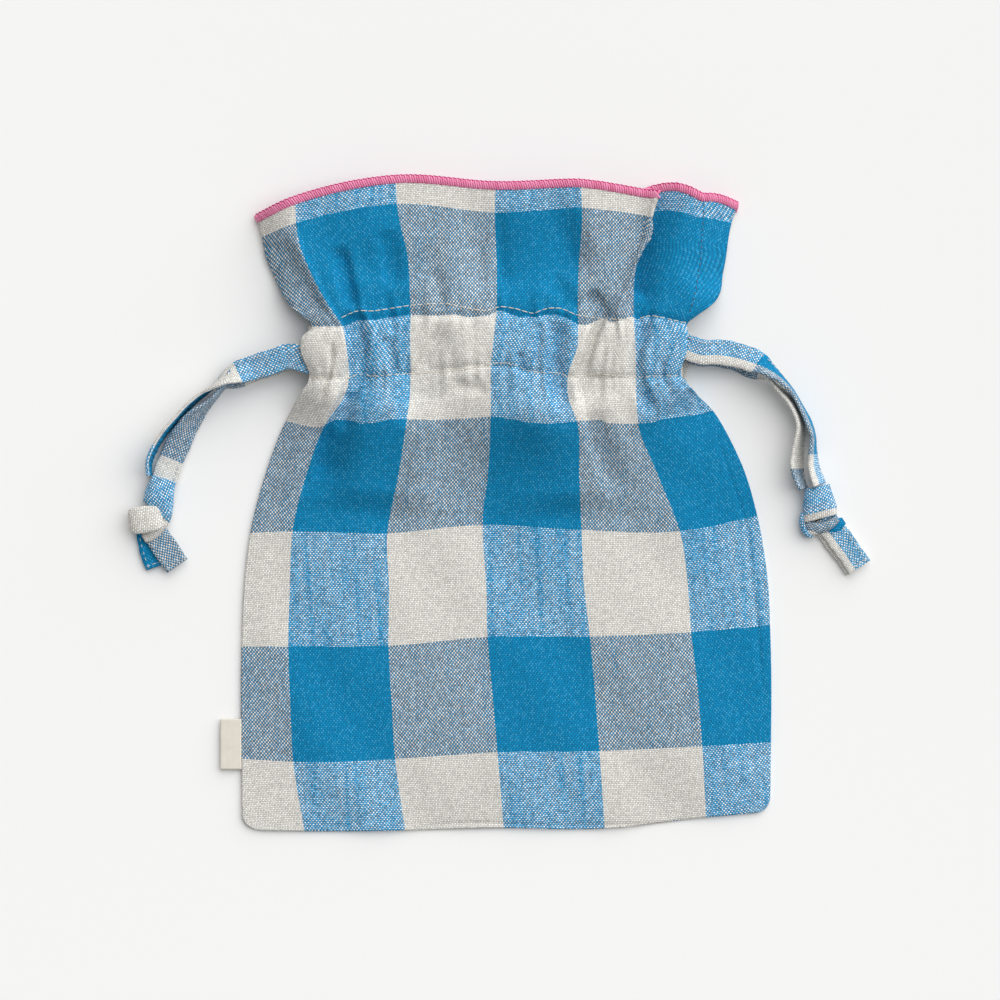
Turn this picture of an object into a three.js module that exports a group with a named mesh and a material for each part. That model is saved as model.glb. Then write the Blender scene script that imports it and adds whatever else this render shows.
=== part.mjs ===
// Drawstring pouch of checked linen, lying on its back panel with the front panel up.
// Millimetres. +X is to the right of the pouch, +Y towards its mouth, +Z up from the table.
// The origin is on the table, under the middle of the pouch and its label.
import * as THREE from 'three';

// Cloth, tape and thread
const clothThickness = 0.6;
const facingThickness = 0.5;
const tapeWidth = 9.5;
const tapeThickness = 1.2;
const threadRadius = 0.25;
const clearance = 0.3;

// Outline of the pouch
const bodyWidth = 200;
const bodyHeight = 169.5;
const neckWidth = 145.5;
const headerHeight = 55.4;
const rimWidth = 182;
const rimSag = 12;
const shoulderLength = 85;
const cornerRadius = 6;
const bottomLift = 5;
const bottomLiftFade = 60;
const shoulderPower = 2;
const headerPower = 1.7;

// Puff of the cloth
const bodyCrown = 6.4;
const crownRamp = 52;
const rimCrown = 9.2;
const sideRise = 22;
const bottomRise = 30;
const neckGap = 4.6;
const neckLift = 0.9;
const neckRamp = 16;

// Seams, casing and rim
const seamRoll = 1.2;
const seamWidth = 3;
const seamInset = 0.4;
const facingFlange = 3;
const facingSlope = 1;
const channelEase = 0.5;
const stitchInset = 2;
const overlockWidth = 3;
const overlockThickness = 1.5;

// Folded label in the left side seam
const labelReach = 8.3;
const labelHeight = 19;
const labelThickness = 0.9;
const labelAboveBottom = 23;

// Drawstrings
const bendReach = 5.5;
const bendSetback = 2.05;
const slitDrop = 1.6;
const knotThickness = 7.5;
const tableGap = 0.3;

// Number of steps along the curves and of sides round a section
const bodySteps = 11;
const headerSteps = 5;
const plateauColumns = 6;
const sideColumns = 4;
const rimSteps = 24;
const tapeStepLength = 5;
const bendSteps = 10;
const threadSides = 6;
const knotSides = 12;
const labelFoldSegments = 6;

// Where the lines of points lie, as shares of a stretch, and the turns of a tape's round nose
const cornerShares = [0, 0.1, 0.4];
const rampShares = [0, 0.25, 0.5, 0.75, 1];
const backColumns = [-1, -0.5, 0, 0.5, 1];
const edgeCrowding = 1.4;
const noseTurns = [80, 55, 30];

// Colours of the materials, from the photographed cloth and thread
const linenColour = 0x5f93bd;
const facingColour = 0xd7d3ca;
const seamColour = 0x6f9cc2;
const overlockColour = 0xd94f95;
const threadColour = 0xd8cfbb;
const labelColour = 0xe9e4d8;
const tapeColour = 0x8fb4d0;

// Places that follow from the sizes. The casing takes two tapes side by side in each of its channels.
const casingHeight = 2 * (tapeWidth + clearance + facingSlope + channelEase);
const totalHeight = bodyHeight + casingHeight + headerHeight;
const bottomY = -totalHeight / 2;
const casingBottom = bottomY + bodyHeight;
const casingTop = casingBottom + casingHeight;
const casingMiddle = (casingBottom + casingTop) / 2;
const rimTop = casingTop + headerHeight - overlockWidth - clearance;
const rimEnd = rimTop - rimSag;
const neckHalf = neckWidth / 2;
const bodyHalf = bodyWidth / 2;
const rimHalf = rimWidth / 2;
const bodyShift = labelReach / 2;
const neckFlat = facingFlange + clearance;
const bendStart = neckHalf - bendSetback - tapeThickness / 2 - bendReach;
const runEnd = bendStart - clearance;
const facingHalf = runEnd - clearance;
const runSpacing = tapeWidth / 2 + clearance;

// Heights of the layers at the neck, from the table up
const backNeckTop = neckLift + clothThickness;
const backTapeLow = backNeckTop + clearance;
const backFacingLow = backTapeLow + tapeThickness + clearance;
const mouthLow = backFacingLow + facingThickness;
const mouthHigh = mouthLow + neckGap;
const frontTapeLow = mouthHigh + facingThickness + clearance;
const frontNeckLow = frontTapeLow + tapeThickness + clearance;
const neckTop = frontNeckLow + clothThickness;
const seamStack = clothThickness + seamRoll + 2 * clearance + clothThickness;
const upperTailLow = tableGap + tapeThickness + clearance;

function smooth(value) {
  const t = Math.min(1, Math.max(0, value));
  return t * t * (3 - 2 * t);
}

function quarterWave(value) {
  return Math.sin((Math.PI / 2) * Math.min(1, Math.max(0, value)));
}

// A station is one line across the pouch: its width, its height profile and the course of its cloth.
function bodyStation(height) {
  const y = bottomY + height;
  const below = Math.min(1, (casingBottom - y) / shoulderLength);
  const flare = 1 - (1 - below) ** shoulderPower;
  const cornerDrop = Math.max(0, cornerRadius - height);
  const corner = cornerRadius - Math.sqrt(cornerRadius ** 2 - cornerDrop ** 2);
  const nearNeck = smooth(1 - (casingBottom - neckFlat - y) / neckRamp);
  const backLow = neckLift * nearNeck;
  const edgeTop = backLow + seamStack + (neckTop - neckLift - seamStack) * nearNeck;
  const towardsNeck = smooth(1 - (casingBottom - y) / crownRamp);
  const crown = bodyCrown + (neckTop - bodyCrown) * towardsNeck;
  const fade = smooth(1 - height / bottomLiftFade);
  return {
    half: neckHalf + (bodyHalf - neckHalf) * flare - corner,
    middle: bodyShift * flare,
    backLow,
    edgeTop,
    crownTop: edgeTop + (crown - edgeTop) * quarterWave(height / bottomRise),
    yAt: (share) => y + bottomLift * fade * smooth(share),
  };
}

function headerStation(share) {
  const edgeY = casingTop + share * (rimEnd - casingTop);
  const nearNeck = smooth(1 - (edgeY - casingTop - neckFlat) / neckRamp);
  const flare = 1 - (1 - share) ** headerPower;
  const restingEdge = neckLift + seamStack;
  return {
    half: neckHalf + (rimHalf - neckHalf) * flare,
    middle: 0,
    backLow: neckLift,
    edgeTop: restingEdge + (neckTop - restingEdge) * nearNeck,
    crownTop: neckTop + (rimCrown - neckTop) * smooth(share),
    yAt: (across) => edgeY + share * rimSag * (1 - across ** 2),
  };
}

function bodyHeights() {
  const heights = cornerShares.map((share) => share * cornerRadius);
  const rampStart = bodyHeight - neckFlat - neckRamp;
  for (let step = 0; step < bodySteps; step += 1) {
    heights.push(cornerRadius + ((rampStart - cornerRadius) * step) / bodySteps);
  }
  for (const share of rampShares) {
    heights.push(rampStart + neckRamp * share);
  }
  return heights;
}

function headerShares() {
  const flatEnd = neckFlat / (rimEnd - casingTop);
  const rampEnd = (neckFlat + neckRamp) / (rimEnd - casingTop);
  const shares = rampShares.map((share) => flatEnd + (rampEnd - flatEnd) * share);
  for (let step = 1; step <= headerSteps; step += 1) {
    shares.push(rampEnd + ((1 - rampEnd) * step) / headerSteps);
  }
  return shares;
}

function panelStations() {
  const body = [...bodyHeights(), bodyHeight].map(bodyStation);
  const header = [0, ...headerShares()].map(headerStation);
  return [...body, ...header];
}

// Distances from the middle, as shares of the half width: close together where the cloth falls to its edge.
function columnShares(half) {
  const shares = [];
  for (let column = 0; column < sideColumns; column += 1) {
    const fromEdge = sideRise * (column / sideColumns) ** edgeCrowding;
    shares.push(-1 + fromEdge / half);
  }
  const plateau = 1 - sideRise / half;
  for (let column = 0; column <= plateauColumns; column += 1) {
    shares.push(-plateau + (2 * plateau * column) / plateauColumns);
  }
  const mirrored = shares.slice(0, sideColumns).map((share) => -share);
  return shares.concat(mirrored.reverse());
}

function frontTopAt(station, share) {
  const fromEdge = (1 - Math.abs(share)) * station.half;
  const rise = quarterWave(fromEdge / sideRise);
  return station.edgeTop + (station.crownTop - station.edgeTop) * rise;
}

function pointAt(station, share, height) {
  return new THREE.Vector3(station.middle + share * station.half, station.yAt(share), height);
}

function meshGeometry(positions, triangles) {
  const geometry = new THREE.BufferGeometry();
  const coordinates = positions.flatMap((point) => point.toArray());
  geometry.setAttribute('position', new THREE.Float32BufferAttribute(coordinates, 3));
  geometry.setIndex(triangles.flat());
  geometry.computeVertexNormals();
  return geometry;
}

// A closed sheet between two grids of points that lie one above the other.
function sheetBetween(lowRows, highRows) {
  const rowCount = lowRows.length;
  const columnCount = lowRows[0].length;
  const offset = rowCount * columnCount;
  const positions = lowRows.flat().concat(highRows.flat());
  const triangles = [];
  const quad = (a, b, c, d) => {
    triangles.push([a, b, c], [a, c, d]);
  };
  for (let row = 0; row + 1 < rowCount; row += 1) {
    for (let column = 0; column + 1 < columnCount; column += 1) {
      const a = row * columnCount + column;
      const b = a + 1;
      const c = b + columnCount;
      const d = a + columnCount;
      quad(offset + a, offset + b, offset + c, offset + d);
      quad(a, d, c, b);
    }
  }
  const rim = [];
  for (let column = 0; column < columnCount; column += 1) {
    rim.push(column);
  }
  for (let row = 1; row < rowCount; row += 1) {
    rim.push(row * columnCount + columnCount - 1);
  }
  for (let column = columnCount - 2; column >= 0; column -= 1) {
    rim.push((rowCount - 1) * columnCount + column);
  }
  for (let row = rowCount - 2; row >= 1; row -= 1) {
    rim.push(row * columnCount);
  }
  rim.forEach((from, index) => {
    const to = rim[(index + 1) % rim.length];
    quad(from, to, offset + to, offset + from);
  });
  return meshGeometry(positions, triangles);
}

// A closed bar whose rings of points all have the same count.
function barThrough(rings) {
  const count = rings[0].length;
  const positions = rings.flat();
  const triangles = [];
  for (let ring = 0; ring + 1 < rings.length; ring += 1) {
    for (let side = 0; side < count; side += 1) {
      const next = (side + 1) % count;
      const a = ring * count + side;
      const b = ring * count + next;
      triangles.push([a, b, b + count], [a, b + count, a + count]);
    }
  }
  const last = (rings.length - 1) * count;
  for (let side = 1; side + 1 < count; side += 1) {
    triangles.push([0, side + 1, side], [last, last + side, last + side + 1]);
  }
  return meshGeometry(positions, triangles);
}

// Cross-section of a soft strip, as pairs of side and up, with its corners taken off.
function stripSection(width, thickness) {
  const side = width / 2;
  const up = thickness / 2;
  const bevel = thickness / 3;
  return [
    [side, -up + bevel],
    [side, up - bevel],
    [side - bevel, up],
    [-side + bevel, up],
    [-side, up - bevel],
    [-side, -up + bevel],
    [-side + bevel, -up],
    [side - bevel, -up],
  ];
}

// The ring of a section set square to a path: side is level, then both are rolled about the path.
function ringAt(point, tangent, section, roll) {
  const up = new THREE.Vector3(0, 0, 1);
  const side = new THREE.Vector3().crossVectors(tangent, up).normalize();
  const rise = new THREE.Vector3().crossVectors(side, tangent).normalize();
  side.applyAxisAngle(tangent, roll);
  rise.applyAxisAngle(tangent, roll);
  return section.map(([along, over]) =>
    point.clone().addScaledVector(side, -along).addScaledVector(rise, over));
}

function barAlong(points, section) {
  const curve = new THREE.CatmullRomCurve3(points);
  const steps = points.length - 1;
  const rings = [];
  for (let step = 0; step <= steps; step += 1) {
    rings.push(ringAt(points[step], curve.getTangent(step / steps), section, 0));
  }
  return barThrough(rings);
}

// Front and back panels: body, casing face and ruffle in one cloth each
function frontPanel() {
  const stations = panelStations();
  const highRows = stations.map((station) =>
    columnShares(station.half).map((share) => pointAt(station, share, frontTopAt(station, share))));
  const lowRows = highRows.map((row) =>
    row.map((point) => point.clone().setZ(point.z - clothThickness)));
  return sheetBetween(lowRows, highRows);
}

function backPanel() {
  const stations = panelStations();
  const lowRows = stations.map((station) =>
    backColumns.map((share) => pointAt(station, share, station.backLow)));
  const highRows = lowRows.map((row) =>
    row.map((point) => point.clone().setZ(point.z + clothThickness)));
  return sheetBetween(lowRows, highRows);
}

// A sewn side seam fills the step between the edges of the two panels.
function seamRing(station, side) {
  const ring = [];
  for (const inset of [seamInset, seamInset + seamWidth]) {
    const share = side * (1 - inset / station.half);
    const low = station.backLow + clothThickness + clearance;
    const high = frontTopAt(station, share) - clothThickness - clearance;
    ring.push([pointAt(station, share, low), pointAt(station, share, high)]);
  }
  const [outer, inner] = ring;
  const corners = [outer[0], inner[0], inner[1], outer[1]];
  return side < 0 ? corners.reverse() : corners;
}

function sideSeam(side) {
  const start = seamInset + seamWidth + clearance;
  const between = bodyHeights().filter((height) => height > start);
  const heights = [start, ...between, bodyHeight - stitchInset];
  return barThrough(heights.map((height) => seamRing(bodyStation(height), side)));
}

function headerSeam(side) {
  const start = stitchInset / (rimEnd - casingTop);
  const shares = [start, ...headerShares()];
  return barThrough(shares.map((share) => seamRing(headerStation(share), side)));
}

function bottomSeam() {
  const stations = [bodyStation(seamInset), bodyStation(seamInset + seamWidth)];
  const reach = 1 - (cornerRadius + seamInset) / bodyHalf;
  const rings = [];
  for (let step = 0; step <= rimSteps; step += 1) {
    const across = -reach + (2 * reach * step) / rimSteps;
    const ring = stations.map((station) => {
      const x = bodyShift + across * bodyHalf;
      const share = (x - station.middle) / station.half;
      const low = clothThickness + clearance;
      const high = frontTopAt(station, share) - clothThickness - clearance;
      return [pointAt(station, share, low), pointAt(station, share, high)];
    });
    rings.push([ring[0][0], ring[1][0], ring[1][1], ring[0][1]]);
  }
  return barThrough(rings);
}

// Facing strips: sewn flat to the panel along both stitch rows, with the tape channel between
function facing(flangeHeight, channelHeight) {
  const halfCasing = casingHeight / 2;
  const marks = [
    [-halfCasing - facingFlange, flangeHeight],
    [-halfCasing, flangeHeight],
    [-halfCasing + facingSlope, channelHeight],
    [halfCasing - facingSlope, channelHeight],
    [halfCasing, flangeHeight],
    [halfCasing + facingFlange, flangeHeight],
  ];
  const lowRows = marks.map(([across, height]) =>
    [-facingHalf, facingHalf].map((end) => new THREE.Vector3(end, casingMiddle + across, height)));
  const highRows = lowRows.map((row) =>
    row.map((point) => point.clone().setZ(point.z + facingThickness)));
  return sheetBetween(lowRows, highRows);
}

function frontFacing() {
  return facing(frontNeckLow - clearance - facingThickness, mouthHigh);
}

function backFacing() {
  return facing(backNeckTop + clearance, backFacingLow);
}

// A row of machine stitches, as the thread that lies on the cloth
function stitchRow(y, height) {
  const reach = neckHalf - stitchInset;
  const section = [];
  for (let side = 0; side < threadSides; side += 1) {
    const angle = (2 * Math.PI * side) / threadSides;
    section.push([threadRadius * Math.cos(angle), threadRadius * Math.sin(angle)]);
  }
  const ends = [new THREE.Vector3(-reach, y, height), new THREE.Vector3(reach, y, height)];
  return barAlong(ends, section);
}

// Overlock bead along the rim of one panel
function rimOverlock(heightAt) {
  const rim = headerStation(1);
  const points = [];
  for (let step = 0; step <= rimSteps; step += 1) {
    const share = -1 + (2 * step) / rimSteps;
    const point = pointAt(rim, share, heightAt(rim, share));
    point.y += clearance + overlockWidth / 2;
    points.push(point);
  }
  return barAlong(points, stripSection(overlockWidth, overlockThickness));
}

function frontOverlock() {
  return rimOverlock((rim, share) => frontTopAt(rim, share) - clothThickness / 2);
}

function backOverlock() {
  return rimOverlock((rim) => rim.backLow + clothThickness / 2);
}

// Folded label: a flat loop of ribbon whose round fold is at its outer end
const labelHinge = new THREE.Vector3(
  bodyShift - bodyHalf - clearance - labelThickness / 2,
  bottomY + labelAboveBottom + labelHeight / 2,
  clothThickness + clearance + labelThickness / 2,
);

function sideLabel() {
  const radius = labelThickness / 2;
  const flatLength = labelReach - clearance - labelThickness;
  const outline = new THREE.Shape();
  outline.moveTo(0, radius);
  outline.absarc(0, 0, radius, Math.PI / 2, -Math.PI / 2, true);
  outline.lineTo(-flatLength, -radius);
  outline.absarc(-flatLength, 0, radius, -Math.PI / 2, -1.5 * Math.PI, true);
  const geometry = new THREE.ExtrudeGeometry(outline, {
    depth: labelHeight,
    bevelEnabled: false,
    curveSegments: labelFoldSegments,
  });
  geometry.rotateX(Math.PI / 2);
  geometry.translate(0, labelHeight / 2, 0);
  return geometry;
}

// Drawstrings. Each point of a strand is given from the slit that it leaves by: across and along in
// millimetres, its climb from the table, 0, to the channel that it leaves, 1, and its roll in degrees.
const leftFrontRoute = [
  [-5.5, -0.2, 0.98, 0],
  [-10.5, -1.9, 0.89, 0],
  [-17.2, -4.0, 0.71, -6],
  [-23.6, -5.5, 0.55, -28],
  [-30.4, -9.0, 0.42, -72],
  [-35.8, -13.0, 0.08, -82],
  [-41.9, -18.1, 0, -86],
  [-48.0, -24.6, 0, -88],
  [-52.8, -30.2, 0, -88],
  [-56.0, -35.0, 0, -86],
  [-58.1, -40.3, 0, -84],
  [-58.0, -45.2, 0, -80],
];
const leftBackRoute = [
  [-5.5, -1.4, 0.87, 0],
  [-10.5, -2.9, 0.47, 0],
  [-17.2, -5.2, 0.13, 0],
  [-23.0, -10.8, 0, -3],
  [-27.8, -16.2, 0, -20],
  [-32.4, -20.8, 0, -62],
  [-36.8, -23.4, 0, -72],
  [-41.6, -27.4, 0, -52],
  [-45.2, -33.0, 0, -26],
  [-48.8, -39.2, 0, -8],
  [-51.9, -46.2, 0.6, -4],
];
const rightFrontRoute = [
  [5.5, 0.2, 0.98, 0],
  [10.5, 0.3, 0.87, 2],
  [18.5, -1.3, 0.71, 8],
  [27.2, -4.9, 0.57, 34],
  [35.8, -10.2, 0.35, 78],
  [42.3, -17.8, 0.01, 84],
  [46.4, -26.1, 0, 86],
  [47.9, -33.6, 0, 80],
  [49.2, -41.2, 0, 66],
  [50.2, -45.6, 0, 60],
  [51.4, -49.1, 0.01, 62],
];
const rightBackRoute = [
  [5.5, -0.8, 0.87, 0],
  [10.5, -1.2, 0.47, 0],
  [20.4, -3.8, 0.13, 0],
  [27.0, -10.2, 0, 3],
  [31.8, -16.6, 0, 22],
  [36.2, -21.6, 0, 66],
  [41.1, -25.3, 0, 92],
  [42.3, -31.4, 0, 98],
  [41.3, -37.0, 0, 116],
  [40.6, -42.6, 0, 132],
  [41.4, -47.0, 0.07, 138],
  [44.0, -50.4, 0.2, 140],
];

// Knots: across and along from the slit, then the half width there and the share of the full thickness.
const leftKnotRings = [
  [-55.0, -46.5, 6.0, 0.8],
  [-56.4, -51.8, 5.8, 0.8],
  [-58.6, -57.6, 7.2, 1.0],
  [-59.8, -62.6, 6.4, 0.9],
  [-58.6, -67.4, 4.4, 0.7],
];
const rightKnotRings = [
  [48.0, -50.6, 5.8, 0.8],
  [48.9, -54.6, 6.2, 0.85],
  [49.2, -58.6, 7.0, 1.0],
  [50.6, -63.2, 6.0, 0.85],
  [53.6, -66.8, 4.2, 0.7],
];

// Tails, in the same terms as the strands: an upper one lies over the lower one, which lies on the table.
const leftUpperTail = [
  [-57.1, -68.4, 1, 0],
  [-53.4, -74.4, 1, 0],
  [-48.8, -80.4, 1, 0],
];
const leftLowerTail = [
  [-60.4, -68.6, 0, 0],
  [-58.8, -75.0, 0, 0],
  [-56.4, -81.0, 0, 0],
];
const rightUpperTail = [
  [54.2, -67.3, 1, 0],
  [59.6, -73.4, 1, 0],
  [65.2, -80.4, 1, 0],
];
const rightLowerTail = [
  [53.2, -68.1, 0, 0],
  [57.6, -74.4, 0, 0],
  [62.6, -81.4, 0, 0],
];

function slitPoint(side) {
  return new THREE.Vector3(side * neckHalf, casingMiddle - slitDrop, 0);
}

function tapeCentreHeight(lowestEdge, roll) {
  const standing = (tapeWidth / 2) * Math.abs(Math.sin(roll));
  const lying = (tapeThickness / 2) * Math.abs(Math.cos(roll));
  return lowestEdge + standing + lying;
}

// A stretch of tape along a hand-laid route, with its roll carried from point to point. The nose of a
// strand is round, so that the strand can swing in front of its slit.
function tapeAlong(route, side, topHeight, roundStart) {
  const slit = slitPoint(side);
  const rolls = route.map((point) => THREE.MathUtils.degToRad(point[3]));
  const points = route.map(([across, along, climb], index) => {
    const lowestEdge = tableGap + climb * (topHeight - tableGap);
    return new THREE.Vector3(slit.x + across, slit.y + along, tapeCentreHeight(lowestEdge, rolls[index]));
  });
  const curve = new THREE.CatmullRomCurve3(points, false, 'centripetal');
  const stepsPerSpan = Math.max(1, Math.round(curve.getLength() / (points.length - 1) / tapeStepLength));
  const steps = (points.length - 1) * stepsPerSpan;
  const rings = [];
  if (roundStart) {
    const tangent = curve.getTangent(0);
    for (const turn of noseTurns) {
      const turned = THREE.MathUtils.degToRad(turn);
      const back = points[0].clone().addScaledVector(tangent, -(tapeWidth / 2) * Math.sin(turned));
      const narrow = stripSection(tapeWidth * Math.cos(turned), tapeThickness);
      rings.push(ringAt(back, tangent, narrow, rolls[0]));
    }
  }
  for (let step = 0; step <= steps; step += 1) {
    const place = step / steps;
    const span = Math.min(points.length - 2, Math.floor(place * (points.length - 1)));
    const within = place * (points.length - 1) - span;
    const roll = rolls[span] + (rolls[span + 1] - rolls[span]) * smooth(within);
    const section = stripSection(tapeWidth, tapeThickness);
    rings.push(ringAt(curve.getPoint(place), curve.getTangent(place), section, roll));
  }
  return barThrough(rings);
}

// The straight run of a drawstring inside one channel of the casing, up to its slit.
function channelRun(side, lowHeight) {
  const y = casingMiddle + side * runSpacing;
  const height = lowHeight + tapeThickness / 2;
  const slitEnd = new THREE.Vector3(side * neckHalf, y, height);
  const farEnd = new THREE.Vector3(-side * runEnd, y, height);
  return barAlong([farEnd, slitEnd], stripSection(tapeWidth, tapeThickness));
}

// The bend of a drawstring at its far side, from the front channel round to the back channel.
function farBend(side) {
  const y = casingMiddle + side * runSpacing;
  const low = backTapeLow + tapeThickness / 2;
  const high = frontTapeLow + tapeThickness / 2;
  const points = [];
  for (let step = 0; step <= bendSteps; step += 1) {
    const angle = Math.PI / 2 - (Math.PI * step) / bendSteps;
    const x = bendStart + bendReach * Math.cos(angle);
    const z = (low + high) / 2 + ((high - low) / 2) * Math.sin(angle);
    points.push(new THREE.Vector3(-side * x, y, z));
  }
  const acrossTape = new THREE.Vector3(0, tapeWidth / 2, 0);
  const curve = new THREE.CatmullRomCurve3(points);
  const rings = points.map((point, index) => {
    const tangent = curve.getTangent(index / bendSteps);
    const outward = tangent.cross(new THREE.Vector3(0, 1, 0)).multiplyScalar(tapeThickness / 2);
    return [
      point.clone().add(acrossTape).add(outward),
      point.clone().sub(acrossTape).add(outward),
      point.clone().sub(acrossTape).sub(outward),
      point.clone().add(acrossTape).sub(outward),
    ];
  });
  return barThrough(rings);
}

// An overhand knot as one soft lump that swells and tapers along the cord.
function knot(ringMarks, side) {
  const slit = slitPoint(side);
  const centres = ringMarks.map(([across, along]) =>
    new THREE.Vector3(slit.x + across, slit.y + along, tableGap + knotThickness / 2));
  const curve = new THREE.CatmullRomCurve3(centres);
  const rings = centres.map((centre, index) => {
    const [, , halfWidth, share] = ringMarks[index];
    const section = [];
    for (let corner = 0; corner < knotSides; corner += 1) {
      const angle = (2 * Math.PI * corner) / knotSides;
      section.push([halfWidth * Math.cos(angle), (knotThickness / 2) * share * Math.sin(angle)]);
    }
    return ringAt(centre, curve.getTangent(index / (centres.length - 1)), section, 0);
  });
  return barThrough(rings);
}

// Assembly
const pouch = new THREE.Group();

function addPiece(name, geometry, color, roughness) {
  const material = new THREE.MeshStandardMaterial({ color, roughness, metalness: 0 });
  const mesh = new THREE.Mesh(geometry, material);
  mesh.name = name;
  pouch.add(mesh);
  return mesh;
}

const clothRoughness = 0.9;
const threadRoughness = 0.6;

addPiece('front_panel', frontPanel(), linenColour, clothRoughness);
addPiece('back_panel', backPanel(), linenColour, clothRoughness);
addPiece('front_casing_facing', frontFacing(), facingColour, clothRoughness);
addPiece('back_casing_facing', backFacing(), facingColour, clothRoughness);
addPiece('bottom_seam', bottomSeam(), seamColour, clothRoughness);

const stitchHeights = {
  front: neckTop + clearance + threadRadius,
  back: neckLift - clearance - threadRadius,
};
const stitchLines = { upper: casingTop, lower: casingBottom };
for (const [panel, height] of Object.entries(stitchHeights)) {
  for (const [row, y] of Object.entries(stitchLines)) {
    addPiece(`${panel}_${row}_casing_stitches`, stitchRow(y, height), threadColour, threadRoughness);
  }
}
addPiece('front_rim_overlock', frontOverlock(), overlockColour, threadRoughness);
addPiece('back_rim_overlock', backOverlock(), overlockColour, threadRoughness);

const label = addPiece('side_label', sideLabel(), labelColour, clothRoughness);
label.position.copy(labelHinge);

const drawstrings = [
  {
    hand: 'left',
    side: -1,
    frontRoute: leftFrontRoute,
    backRoute: leftBackRoute,
    knotRings: leftKnotRings,
    upperTail: leftUpperTail,
    lowerTail: leftLowerTail,
  },
  {
    hand: 'right',
    side: 1,
    frontRoute: rightFrontRoute,
    backRoute: rightBackRoute,
    knotRings: rightKnotRings,
    upperTail: rightUpperTail,
    lowerTail: rightLowerTail,
  },
];

for (const string of drawstrings) {
  const { hand, side } = string;
  addPiece(`${hand}_side_seam`, sideSeam(side), seamColour, clothRoughness);
  addPiece(`${hand}_header_seam`, headerSeam(side), seamColour, clothRoughness);
  const stretches = {
    front_run: channelRun(side, frontTapeLow),
    back_run: channelRun(side, backTapeLow),
    far_bend: farBend(side),
    front_strand: tapeAlong(string.frontRoute, side, frontTapeLow, true),
    back_strand: tapeAlong(string.backRoute, side, backTapeLow, true),
    knot: knot(string.knotRings, side),
    upper_tail: tapeAlong(string.upperTail, side, upperTailLow, false),
    lower_tail: tapeAlong(string.lowerTail, side, upperTailLow, false),
  };
  for (const [stretch, geometry] of Object.entries(stretches)) {
    addPiece(`${hand}_drawstring_${stretch}`, geometry, tapeColour, clothRoughness);
  }
}

export default pouch;
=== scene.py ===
# %% [markdown]
# # A drawstring pouch of checked linen
# The pouch lies flat on its back, seen from straight above. Two flat tapes gather its neck, and the cloth
# above the tapes opens into a ruffle with a pink overlocked rim. This lesson dresses the plain CAD solids in
# cloth, tape and thread.

import math

import bmesh
import bpy
import numpy as np
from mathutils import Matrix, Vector
from mathutils.bvhtree import BVHTree


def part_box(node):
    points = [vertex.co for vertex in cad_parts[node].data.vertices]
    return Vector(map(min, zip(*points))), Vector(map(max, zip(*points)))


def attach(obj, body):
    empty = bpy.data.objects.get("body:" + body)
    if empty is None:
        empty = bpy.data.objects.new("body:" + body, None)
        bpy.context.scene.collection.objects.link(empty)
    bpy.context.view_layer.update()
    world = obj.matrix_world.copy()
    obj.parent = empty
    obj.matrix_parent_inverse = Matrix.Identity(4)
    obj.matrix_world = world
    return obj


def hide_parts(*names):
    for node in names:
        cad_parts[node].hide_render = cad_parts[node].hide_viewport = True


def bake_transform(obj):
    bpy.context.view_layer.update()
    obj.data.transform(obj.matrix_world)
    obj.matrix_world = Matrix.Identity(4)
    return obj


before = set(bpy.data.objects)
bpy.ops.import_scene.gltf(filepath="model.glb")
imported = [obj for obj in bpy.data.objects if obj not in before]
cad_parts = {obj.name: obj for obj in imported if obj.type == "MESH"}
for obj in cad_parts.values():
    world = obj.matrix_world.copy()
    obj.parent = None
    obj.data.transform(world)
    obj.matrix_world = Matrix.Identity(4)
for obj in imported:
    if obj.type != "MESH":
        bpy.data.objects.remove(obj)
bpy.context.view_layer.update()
MM = 0.001

# %% [markdown]
# ## The camera
# The photograph was taken from straight above, from far away, so the edges of the pouch hardly lean. A long
# lens at two metres gives that look. One photograph pixel is a known length on the table, which lets any spot
# of the photograph be named by its pixel and turned into metres.

# %% Camera
IMAGE_SIZE = 1000
PIXEL = 0.3775 * MM
ORIGIN_PIXEL = (495.5, 503.0)
LENS = 200.0
SENSOR = 36.0
MIDDLE_HEIGHT = 6.0 * MM


def spots(pixels):
    """Places on the table, in metres, of a list of photograph pixels."""
    marks = np.asarray(pixels, float)
    across = (marks[..., 0] - ORIGIN_PIXEL[0]) * PIXEL
    along = (ORIGIN_PIXEL[1] - marks[..., 1]) * PIXEL
    return np.stack([across, along], axis=-1)


view_width = IMAGE_SIZE * PIXEL
middle = spots((IMAGE_SIZE / 2, IMAGE_SIZE / 2))
camera_data = bpy.data.cameras.new("overhead_camera")
camera_data.lens = LENS
camera_data.sensor_width = SENSOR
camera = bpy.data.objects.new("overhead_camera", camera_data)
camera.location = (middle[0], middle[1], MIDDLE_HEIGHT + view_width * LENS / SENSOR)
bpy.context.collection.objects.link(camera)
bpy.context.scene.camera = camera
bpy.context.scene.view_settings.view_transform = "Standard"
print(f"camera {camera.location.z:.3f} m above the table, {view_width:.4f} m of table in view")

# %% [markdown]
# ## Curves and lofts
# Every piece here is a grid of points: cloth is an open grid, tape and thread are grids rolled into tubes.
# Blender's curve objects could draw the tubes, but a grid lets each corner carry its own place in the cloth,
# which is what the weave is painted by. So two helpers do it all: one draws a smooth line through given
# points, and one turns grids into a mesh.

# %% Smooth lines
UP = np.array([0.0, 0.0, 1.0])


def smooth_step(value):
    share = np.clip(value, 0.0, 1.0)
    return share * share * (3.0 - 2.0 * share)


def quarter_wave(value):
    return np.sin(np.clip(value, 0.0, 1.0) * math.pi / 2)


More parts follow.
